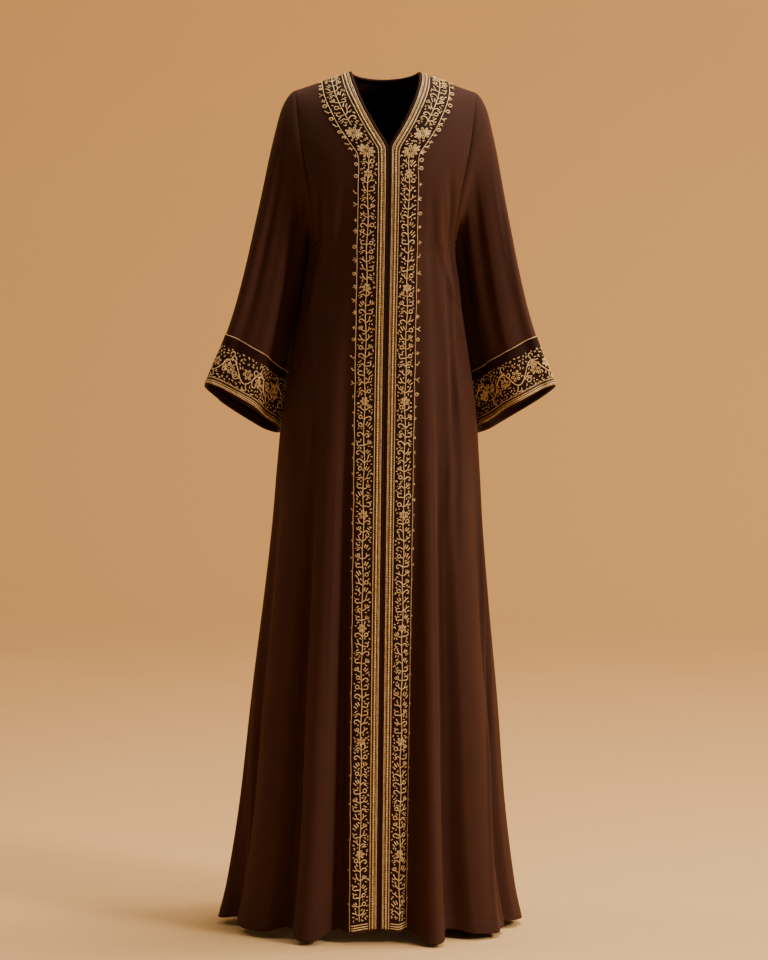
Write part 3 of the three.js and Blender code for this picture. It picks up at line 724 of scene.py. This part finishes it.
twist.links.new(add_math(twist, "ADD", twist_hollow_shade, gilt_tone_and_glints), twist_out.inputs["Shade"])


def gold_material(name, deep, pale, twists, metallic, roughness):
    """Metallised thread: painted shade darkens its hollows to bronze, and painted highlights pale it."""
    material, pattern, shader = thread_material(name, twist, (0.38, 0.7), (deep, pale), 0.6, 0.15)
    place = material.node_tree.nodes.new("ShaderNodeTexCoord")
    material.node_tree.links.new(place.outputs["Object"], pattern.inputs["Vector"])
    pattern.inputs["Twists"].default_value = twists
    shader.inputs["Metallic"].default_value = metallic
    shader.inputs["Roughness"].default_value = roughness
    return material


bronze_ground = gold_material(
    "bronze_ground", deep=(0.022, 0.008, 0.0026), pale=(0.085, 0.034, 0.010),
    twists=420.0, metallic=0.3, roughness=0.55,
)
gold_cord = gold_material(
    "gold_cord", deep=(0.60, 0.27, 0.065), pale=(1.0, 0.77, 0.36),
    twists=300.0, metallic=0.2, roughness=0.38,
)
gold_thread = gold_material(
    "gold_thread", deep=(0.62, 0.29, 0.07), pale=(1.0, 0.79, 0.39),
    twists=420.0, metallic=0.15, roughness=0.4,
)

BRAID_GROUND = (5.2, 18.5)  # from and to, as distances from the edge
BRAID_HEIGHT = 1.4  # over the crepe's face
BRAID_CORDS = [(6.0, 0.75), (8.2, 0.42), (17.6, 0.75)]  # distance from the edge, radius
BEAD_ROW = {"at": 12.3, "radius": 1.9, "waist": 0.35, "pitch": 4.7}


def cord_piece(name, points, normals, radius, sides):
    """A round cord along a line, with one radius or a radius for each station, and closed ends."""
    along = unit(np.gradient(points, axis=0))
    side_way = unit(np.cross(along, normals))
    turn = np.linspace(0, 2 * np.pi, sides + 1)
    cosine, sine = np.cos(turn)[None, :, None], np.sin(turn)[None, :, None]
    outward = cosine * side_way[:, None] + sine * normals[:, None]
    rings = points[:, None] + outward * np.broadcast_to(radius, len(points))[:, None, None]
    cord = sheet_of(name, rings, outward, cloth_uv(rings), 0, closed=True)
    bm = bmesh.new()
    bm.from_mesh(cord.data)
    open_edges = [edge for edge in bm.edges if edge.is_boundary]
    bmesh.ops.holes_fill(bm, edges=open_edges, sides=0)
    bm.to_mesh(cord.data)
    bm.free()
    return cord


points, normals = along_edge(np.linspace(*BRAID_GROUND, 5), TRIM_END, 7.0)
points = points + normals * BRAID_HEIGHT
braid = sheet_of("braid_ground", points, normals, cloth_uv(points), 0.8)
dress(braid, bronze_ground, "gold_braid", "neck_braid")
for number, (distance, radius) in enumerate(BRAID_CORDS):
    line, line_normals = along_edge([distance], TRIM_END, 7.0)
    line, line_normals = line[:, 0], line_normals[:, 0]
    centre = line + line_normals * (BRAID_HEIGHT + 0.3)
    dress(cord_piece(f"braid_cord_{number + 1}", centre, line_normals, radius, 6), gold_cord, "gold_braid")
line, line_normals = along_edge([BEAD_ROW["at"]], TRIM_END, 0.8)
line, line_normals = line[:, 0], line_normals[:, 0]
run = lengths_along(line, 0) / MM
plump = np.abs(np.sin(np.pi * run / BEAD_ROW["pitch"]))
beads = cord_piece(
    "braid_beads",
    line + line_normals * (BRAID_HEIGHT + 0.2),
    line_normals,
    mix(BEAD_ROW["waist"], BEAD_ROW["radius"], plump),
    6,
)
dress(beads, gold_cord, "gold_braid")

# ---- Embroidery on the fronts -----------------------------------------------------------------------
# Couched gold thread on the dark bands: a stem with pairs of budded branches, curls, rings and leaves,
# two large flowers beside the point of the V, and a thin outline with buds. Seeds fill the bare ground.

STEM = 35.6  # distance from the edge
UNIT = 15.5  # spacing of the branches
THREAD = 1.0  # radius of a couched thread of thickness 1
STITCH_LIFT = BAND_HEIGHT + 0.25  # height of its middle over the crepe's face


def arc(x, y, radius, start, end, steps=8):
    turn = np.radians(np.linspace(start, end, steps))
    return [(x + radius * math.cos(a), y + radius * math.sin(a)) for a in turn]


# Each motif is a list of strokes: a thickness, and the points of the line, outwards and upwards from the
# stem in millimetres.
MOTIFS = {
    "branch": [
        (0.9, [(0, 0), (2.6, 0.8), (5.6, 3.4), (7.4, 7.4)]),
        (1.35, [(7.2, 7.0), (8.4, 10.4)]),
        (1.0, [(5.2, 2.4), (9.0, 1.6), (11.8, 4.0)]),
    ],
    "fork": [
        (0.9, [(0, 0), (3.8, 1.4), (6.4, 4.4)]),
        (1.2, [(6.2, 4.0), (6.0, 9.4)]),
        (1.2, [(6.2, 4.0), (11.6, 6.8)]),
        (1.3, [(9.0, -1.2), (12.0, -0.2)]),
    ],
    "curl": [
        (0.95, [(0, 0), (3.2, -0.6)] + arc(7.6, 2.6, 3.6, 225, 500)),
        (1.3, [(11.2, 8.4), (12.6, 6.6)]),
    ],
    "ring": [
        (0.9, [(0, 0), (4.0, 1.4)]),
        (0.95, arc(7.2, 3.4, 3.1, 0, 360, 9)),
        (1.3, [(11.0, 7.6), (12.8, 9.4)]),
    ],
    "leaves": [
        (1.3, [(2.8, 3.0), (6.0, 8.6)]),
        (1.3, [(5.4, 1.0), (10.0, 6.8)]),
        (1.2, [(7.6, -2.4), (12.6, 1.6)]),
    ],
    "comma": [(1.0, [(0, 0), (3.0, 3.4), (6.6, 5.6), (10.4, 4.8), (11.8, 1.6), (9.8, -1.2), (7.4, 0.2)])],
    "tulip": [
        (0.9, [(0, 0), (4.4, 1.2), (7.0, 3.6)]),
        (1.1, [(7.0, 3.6), (5.2, 6.4), (6.6, 9.6)]),
        (1.1, [(7.0, 3.6), (10.6, 3.6), (12.4, 6.6)]),
        (1.3, [(8.4, 5.6), (9.6, 8.6)]),
    ],
    "drops": [
        (1.25, [(6.0, 8.6), (10.6, 5.4)]),
        (1.25, [(6.0, 1.0), (10.6, -2.2)]),
        (0.95, [(0, 0), (4.4, 3.8), (9.8, 2.0)]),
        (1.4, [(12.2, 1.0), (12.8, 2.0)]),
    ],
}
SPRIGS = {
    "cross": [(0.85, [(0, 0), (7.4, 0.4)]), (0.95, [(4.0, -3.4), (4.4, 3.6)])],
    "trefoil": [(1.0, [(0, 0), (4.6, 4.2)]), (1.0, [(0, 0), (7.2, 0.4)]), (1.0, [(0, 0), (4.4, -4.0)])],
    "eye": [(0.8, [(0, 0), (2.0, 0)]), (0.85, arc(4.9, 0, 2.8, 0, 360, 8))],
    "fork": [(0.9, [(0, 0), (3.4, -0.8), (7.4, 3.4)]), (0.9, [(3.4, -0.8), (7.6, -3.6)])],
    "tick": [(0.95, [(0, 0), (4.0, -1.6), (7.6, 3.0)]), (1.3, [(6.6, 1.8), (7.8, 3.6)])],
}


def flower(radius, petals, start):
    """A round flower: looped petals about a bead. start turns it, in degrees."""
    strokes = [(1.5, [(-0.6, 0.0), (0.6, 0.0)])]
    petal = [(0.34, 0.0), (0.6, 0.17), (0.88, 0.13), (1.0, 0.0), (0.88, -0.13), (0.6, -0.17), (0.34, 0.0)]
    spread = 6.6 / petals
    for number in range(petals):
        turn = math.radians(start + 360 * number / petals)
        cosine, sine = math.cos(turn), math.sin(turn)
        strokes.append((0.85, [
            (radius * (a * cosine - b * spread * sine), radius * (a * sine + b * spread * cosine))
            for a, b in petal
        ]))
    return strokes


def rosette(radius):
    """A large flower: looped petals round the rim, and short fat stitches towards the middle."""
    strokes = flower(radius, 10, 9)
    for number in range(8):
        turn = math.radians(45 * number)
        strokes.append((1.0, [
            (share * radius * math.cos(turn), share * radius * math.sin(turn)) for share in (0.2, 0.42)
        ]))
    return strokes


def fill_ground(strokes, chance, low, high, begin, end, clear):
    """Seeds and small curls sewn wherever the ground between the strokes is bare."""
    step_across, step_down, nearby = 2.7, 3.1, 12
    taken = np.array([p for _, line in strokes for p in line])
    for y in np.arange(begin, end, step_down):
        near = taken[np.abs(taken[:, 1] - y) < nearby]
        for x in np.arange(low, high, step_across):
            at = np.array([x + chance.uniform(-0.8, 0.8), y + chance.uniform(-0.9, 0.9)])
            if not low <= at[0] <= high or (len(near) and np.hypot(*(near - at).T).min() < clear):
                continue
            turn = chance.uniform(0, 360)
            if chance.random() < 0.4:
                line = arc(at[0], at[1], 1.8, turn, turn + 210, 6)
                strokes.append((0.8, line))
            else:
                reach = chance.uniform(1.2, 2.2)
                ahead = np.array([math.cos(math.radians(turn)), math.sin(math.radians(turn))]) * reach
                line = [tuple(at - ahead), tuple(at + ahead)]
                strokes.append((1.2, line))
            near = np.concatenate([near, line])
            taken = np.concatenate([taken, line])
    return strokes


def placed(strokes, x, y, flip=1, size=1.0, lean=0.0):
    """Copies of strokes moved to a place, in sewing coordinates: outwards, and down from the shoulder."""
    cosine, sine = math.cos(lean), math.sin(lean)
    return [
        (thickness, [
            (x + flip * size * (a * cosine - b * sine), y - size * (a * sine + b * cosine))
            for a, b in line
        ])
        for thickness, line in strokes
    ]


def sew(name, strokes, spot):
    """Turns strokes into couched threads. spot gives points and normals for sewing coordinates."""
    start_taper, end_taper = 0.75, 0.7
    flat = np.array([p for _, line in strokes for p in line])
    points, normals = spot(flat[:, 0], flat[:, 1])
    points = (points + normals * STITCH_LIFT) * MM
    curve = bpy.data.curves.new(name, "CURVE")
    curve.dimensions = "3D"
    curve.bevel_depth = THREAD * MM
    curve.bevel_resolution = 1
    curve.use_fill_caps = True
    first = 0
    for thickness, line in strokes:
        count = len(line)
        spline = curve.splines.new("POLY")
        spline.points.add(count - 1)
        part = np.concatenate([points[first:first + count], np.ones((count, 1))], 1)
        spline.points.foreach_set("co", part.ravel())
        taper = np.full(count, thickness)
        taper[0] *= start_taper
        taper[-1] *= end_taper
        spline.points.foreach_set("radius", taper)
        first += count
    drawn = in_scene(name + "_curve", curve)
    mesh = bpy.data.meshes.new_from_object(drawn)
    bpy.data.objects.remove(drawn)
    mesh.shade_smooth()
    return dress(in_scene(name, mesh), gold_thread, "gold_braid")


# Distance run down the stem line for each drop, to space the pattern evenly over the shoulder.
stem_drops = drops_down(0, 60, 500)
stem_line, _ = front_spot(1, STEM, stem_drops)
stem_run = lengths_along(stem_line, 0) / MM


def run_at(drop):
    return float(np.interp(drop, stem_drops, stem_run))


BARS = [TRIM_END - 2.0, TRIM_END - 6.0, TRIM_END - 10.5]  # lines across the band's foot
# Buds on the outline: the drop they reach down to, the least and most between them, and their least and
# greatest size. Lower down they are only knots.
BUDS = [
    (150, 10, 17, 0.85, 1.15),
    (560, 18, 30, 0.8, 1.1),
    (860, 22, 34, 0.45, 0.65),
    (TRIM_END, 44, 66, 0.3, 0.42),
]
BIG_FLOWERS = [(39.0, 97.0, 12.5), (36.5, 127.0, 13.5)]  # distance from the edge, drop, radius
STEM_BREAK = (84.0, 146.0)  # drops between which the big flowers take the stem's place
SHOULDER_UNIT = 12.5  # spacing of the branches above them
OUTLINE = BAND_EDGE + 0.4


def front_strokes(seed):
    """The whole run of embroidery on one front, outwards from the edge and down from the shoulder."""
    chance = random.Random(seed)
    pause, start = (run_at(drop) for drop in STEM_BREAK)
    end = run_at(TRIM_END - 16)
    strokes = [(0.75, [(STEM + 1.1 * math.sin(y / 17), y) for y in np.arange(start - 6, end, 5.0)])]
    strokes.append((0.75, [(STEM, y) for y in np.arange(4.0, pause, 5.0)]))
    places = [*np.arange(9.0, pause, SHOULDER_UNIT), *np.arange(start + 5, end - 4, UNIT)]
    last = ""
    for number, y in enumerate(places):
        if y > start and number % 13 == 10:
            strokes += placed(flower(chance.uniform(7.0, 8.2), 6, chance.uniform(0, 60)), STEM, y)
            continue
        for flip in (-1, 1):
            last = chance.choice([motif for motif in MOTIFS if motif != last])
            size, lean = chance.uniform(0.95, 1.12), chance.uniform(-0.14, 0.2)
            strokes += placed(MOTIFS[last], STEM, y + chance.uniform(-1, 1), flip, size, lean)
    for distance, drop, radius in BIG_FLOWERS:
        strokes += placed(rosette(radius), distance, run_at(drop))
    low, high = BAND_START + 3.0, BAND_EDGE - 3.4
    strokes = [(thick, [(min(max(a, low), high), b) for a, b in line]) for thick, line in strokes]
    fill_ground(strokes, chance, low, high, 4.0, end, 3.9)
    y = 10.0
    while y < run_at(TRIM_END - 20):
        sprig = SPRIGS[chance.choice(list(SPRIGS))]
        near, far, small, large = next(row[1:] for row in BUDS if y < run_at(row[0]))
        strokes += placed(sprig, OUTLINE, y, 1, chance.uniform(small, large), chance.uniform(-0.4, 0.4))
        y += chance.uniform(near, far)
    bar = np.linspace(BAND_START + 1.5, BAND_EDGE - 1.5, 8)
    for drop in BARS:
        strokes.append((1.0, [(x, run_at(drop)) for x in bar]))
    return strokes


def front_sewing(side):
    """Sewing coordinates on a front: out from its edge, and down from the shoulder."""

    def spot(distance, run):
        return front_spot(side, distance, np.interp(run, stem_run, stem_drops))

    return spot


outline_drops = drops_down(0.02, 14, 240)
wander = 0.5 * np.sin(outline_drops / 11) * np.sin(outline_drops / 37)
for side, name, seed in ((-1, "right", 3), (1, "left", 11)):
    sew(f"embroidery_{name}", front_strokes(seed), front_sewing(side))
    line, line_normals = front_spot(side, OUTLINE + wander, outline_drops)
    centre = line + line_normals * (BAND_HEIGHT + 0.2)
    dress(cord_piece(f"outline_{name}", centre, line_normals, 0.62, 6), gold_cord, "gold_braid")

# ---- Cuffs ------------------------------------------------------------------------------------------
# Round each sleeve's hem: a dark satin band with scrolling gold embroidery under a single outline cord,
# a four-line gold braid below it, and a dark facing turned up inside.

CUFF = {"top": 9.0, "braid": 11.0, "braid_end": 12.0, "hem": 13.0}  # ring numbers of the sleeve
# The outline cord over the band, and the braid's four cords: ring number, radius.
CUFF_CORDS = [(8.98, 0.7), (11.06, 0.6), (11.36, 0.6), (11.7, 1.05), (12.0, 0.55)]
FACING_CORD = {"ring": 12.22, "radius": 0.45}


def cuff_rows(side, first, last, count):
    return sleeve_surface(side, np.linspace(first, last, count))


def cuff_strokes(seed, round_length, height):
    """A scrolling stem with branches and flowers, round a cuff. Across is down from the band's top."""
    chance = random.Random(seed)
    waves = 7
    low, high = height * 0.2, height - 3.0  # the embroidery lies between these
    middle, swing = (low + high) / 2, (high - low) * 0.24

    def stem_at(s):
        return middle + swing * math.sin(2 * math.pi * waves * s / round_length)

    strokes = [(0.95, [(stem_at(s), s) for s in np.linspace(0, round_length, 150)])]
    steps = waves * 5
    for number in range(steps):
        s = (number + 0.5) * round_length / steps
        turned = 0.9 * math.cos(2 * math.pi * waves * s / round_length)
        if number % 5 in (1, 3):
            side_way = -1 if number % 5 == 1 else 1
            centre = stem_at(s) + side_way * (swing + 1.5)
            strokes += placed(flower(chance.uniform(8.0, 9.0), 6, chance.uniform(0, 60)), centre, s)
            strokes += placed(MOTIFS["curl"], stem_at(s), s, -side_way, 1.15, turned)
            continue
        for flip in (-1, 1):
            motif = MOTIFS[chance.choice(list(MOTIFS))]
            size, lean = chance.uniform(1.05, 1.4), turned + chance.uniform(-0.3, 0.3)
            strokes += placed(motif, stem_at(s), s + chance.uniform(-1, 1), flip, size, lean)
    fill_ground(strokes, chance, low, high, 0.0, round_length, 4.6)
    return [(thick, [(min(max(a, low), high), b) for a, b in line]) for thick, line in strokes]


def cuff_sewing(side):
    """Sewing coordinates on a cuff: down from the band's top, and round from the outer line."""
    rows = 60
    grid, normals = cuff_rows(side, CUFF["top"], CUFF["braid"], rows)
    grid, normals = closed_rows(grid), closed_rows(normals)
    down = lengths_along(grid, 0) / MM
    middle_run = lengths_along(grid, 1)[rows // 2] / MM
    length = middle_run[-1]

    def spot(depth, run):
        column = np.interp(np.asarray(run) % length, middle_run, np.arange(AROUND + 1))
        left = np.clip(np.floor(column).astype(int), 0, AROUND - 1)
        part = (column - left)[:, None]
        row = np.clip(np.asarray(depth) / down[-1, left] * (rows - 1), 0, rows - 1)
        upper = np.clip(np.floor(row).astype(int), 0, rows - 2)
        fall = (row - upper)[:, None]

        def blend(field):
            above = mix(field[upper, left], field[upper, left + 1], part)
            below = mix(field[upper + 1, left], field[upper + 1, left + 1], part)
            return mix(above, below, fall)

        return blend(grid), unit(blend(normals))

    return spot, length, float(down[-1].mean())


def cuff_sheet(name, side, first, last, count, lift, thickness):
    """A strip round a cuff between two rings, lifted off the crepe's face or, below zero, inside it."""
    grid, normals = cuff_rows(side, first, last, count)
    grid = closed_rows(grid + normals * lift)
    return sheet_of(name, grid, closed_rows(normals), cloth_uv(grid), thickness, closed=True)


def cuff_cord(name, side, ring, lift, radius, sides):
    line, line_normals = cuff_rows(side, ring - 0.02, ring + 0.02, 3)
    line, line_normals = closed_rows(line)[1], closed_rows(line_normals)[1]
    return cord_piece(name, line + line_normals * lift, line_normals, radius, sides)


for side, name, seed in ((-1, "right", 5), (1, "left", 8)):
    band = cuff_sheet(f"satin_cuff_{name}", side, CUFF["top"], CUFF["braid"], 24, BAND_HEIGHT, 0.8)
    dress(band, dark_satin, "dark_cloth", f"cuff_band_{name}")
    braid_foot = CUFF["braid_end"] + 0.1
    braid = cuff_sheet(f"cuff_braid_ground_{name}", side, CUFF["braid"], braid_foot, 6, BAND_HEIGHT, 0.8)
    dress(braid, bronze_ground, "gold_braid", f"cuff_braid_{name}")
    inside = -(CLOTH_SHOWN + 0.3)
    facing = cuff_sheet(f"satin_facing_{name}", side, CUFF["braid"], CUFF["hem"], 10, inside, 0.5)
    dress(facing, dark_satin, "dark_cloth", f"cuff_facing_{name}")
    edge = cuff_sheet(f"cuff_edge_{name}", side, braid_foot, CUFF["hem"], 5, 0.7, 0.6)
    dress(edge, dark_satin, "dark_cloth")
    inner_cord = cuff_cord(
        f"facing_cord_{name}", side, FACING_CORD["ring"], -(CLOTH_SHOWN + 1.2), FACING_CORD["radius"], 5
    )
    dress(inner_cord, bronze_ground, "gold_braid")
    for number, (ring, radius) in enumerate(CUFF_CORDS):
        cord = cuff_cord(f"cuff_cord_{name}_{number + 1}", side, ring, BAND_HEIGHT + 0.3, radius, 6)
        dress(cord, gold_cord, "gold_braid")
    spot, length, height = cuff_sewing(side)
    sew(f"cuff_embroidery_{name}", cuff_strokes(seed, length, height), spot)

# ---- Studio -----------------------------------------------------------------------------------------
# A plain pale floor that sweeps up into a backdrop, under soft light from the front and the viewer's
# right.

FLOOR = -1.5335  # metres, just below the lowest fold
SWEEP = {"near": -9.0, "bend": 2.6, "radius": 1.4, "top": 6.0, "half_width": 12.0}

sweep_profile = [(SWEEP["near"], FLOOR), (SWEEP["bend"], FLOOR)]
for turn in np.radians(range(10, 91, 10)):
    ahead = SWEEP["bend"] + SWEEP["radius"] * math.sin(turn)
    sweep_profile.append((ahead, FLOOR + SWEEP["radius"] * (1 - math.cos(turn))))
sweep_profile.append((SWEEP["bend"] + SWEEP["radius"], SWEEP["top"]))
bm = bmesh.new()
profile = [bm.verts.new((-SWEEP["half_width"], y, z)) for y, z in sweep_profile]
profile_edges = [bm.edges.new(pair) for pair in zip(profile, profile[1:])]
swept = bmesh.ops.extrude_edge_only(bm, edges=profile_edges)
moved_verts = [item for item in swept["geom"] if isinstance(item, bmesh.types.BMVert)]
bmesh.ops.translate(bm, verts=moved_verts, vec=(2 * SWEEP["half_width"], 0, 0))
bm.normal_update()
bm.faces.ensure_lookup_table()
if bm.faces[0].normal.z < 0:
    bmesh.ops.reverse_faces(bm, faces=bm.faces)
sweep_mesh = bpy.data.meshes.new("backdrop")
bm.to_mesh(sweep_mesh)
bm.free()
sweep_mesh.shade_smooth()
backdrop = in_scene("backdrop", sweep_mesh)
plaster, nodes, links = new_material("pale_plaster")
shader = nodes["Principled BSDF"]
place = nodes.new("ShaderNodeTexCoord")
mottle = nodes.new("ShaderNodeTexNoise")
mottle.inputs["Scale"].default_value = 1.6
mottle.inputs["Detail"].default_value = 5.0
links.new(place.outputs["Object"], mottle.inputs["Vector"])
axes = nodes.new("ShaderNodeSeparateXYZ")
links.new(place.outputs["Object"], axes.inputs["Vector"])
# Painted shade: the plaster darkens towards the back and up the wall, under a faint random mottle.
depth = add_math(plaster.node_tree, "MULTIPLY", axes.outputs["Y"], 0.3)
clouded = add_math(plaster.node_tree, "MULTIPLY", mottle.outputs["Fac"], 0.22)
ramp = nodes.new("ShaderNodeValToRGB")
ramp.color_ramp.elements[0].position = 0.0
ramp.color_ramp.elements[0].color = (0.84, 0.505, 0.205, 1)
ramp.color_ramp.elements[1].position = 0.95
ramp.color_ramp.elements[1].color = (0.53, 0.28, 0.085, 1)
links.new(add_math(plaster.node_tree, "ADD", depth, clouded), ramp.inputs["Fac"])
links.new(ramp.outputs["Color"], shader.inputs["Base Color"])
shader.inputs["Roughness"].default_value = 0.9
# Seen from behind, the backdrop is clear, so the kaftan's back can be looked at too.
seen_side = nodes.new("ShaderNodeNewGeometry")
clear = nodes.new("ShaderNodeBsdfTransparent")
either = nodes.new("ShaderNodeMixShader")
links.new(seen_side.outputs["Backfacing"], either.inputs["Fac"])
links.new(shader.outputs["BSDF"], either.inputs[1])
links.new(clear.outputs["BSDF"], either.inputs[2])
links.new(either.outputs["Shader"], nodes["Material Output"].inputs["Surface"])
sweep_mesh.materials.append(plaster)

LIGHTS = [  # name, place, aim, size, watts, colour
    ("key", (3.6, -2.4, 1.4), (0.0, 0.0, -0.75), 1.2, 172.0, (1.0, 0.93, 0.83)),
    ("fill", (-3.0, -4.2, 0.6), (0.0, 0.0, -0.75), 3.0, 6.0, (1.0, 0.93, 0.85)),
    ("floor_wash", (1.0, 0.3, 3.4), (0.5, -0.4, -1.5), 2.4, 230.0, (1.0, 0.91, 0.78)),
    ("wall_left", (-3.4, 0.8, 2.4), (-1.0, 4.0, -0.4), 2.0, 72.0, (1.0, 0.87, 0.70)),
    ("wall_right", (3.6, 0.8, 2.2), (1.4, 4.0, -0.6), 2.0, 150.0, (1.0, 0.88, 0.71)),
]
for name, place, aimed_at, size, watts, colour in LIGHTS:
    lamp = bpy.data.lights.new(name, "AREA")
    lamp.shape = "DISK"
    lamp.size = size
    lamp.energy = watts
    lamp.color = colour
    light = in_scene(name, lamp)
    aim = Vector(aimed_at) - Vector(place)
    light.matrix_world = Matrix.Translation(place) @ aim.to_track_quat("-Z", "Y").to_matrix().to_4x4()
world = bpy.data.worlds.new("studio")
world.use_nodes = True
background = world.node_tree.nodes["Background"]
background.inputs["Color"].default_value = (1.0, 0.9, 0.78, 1)
background.inputs["Strength"].default_value = 0.05
bpy.context.scene.world = world
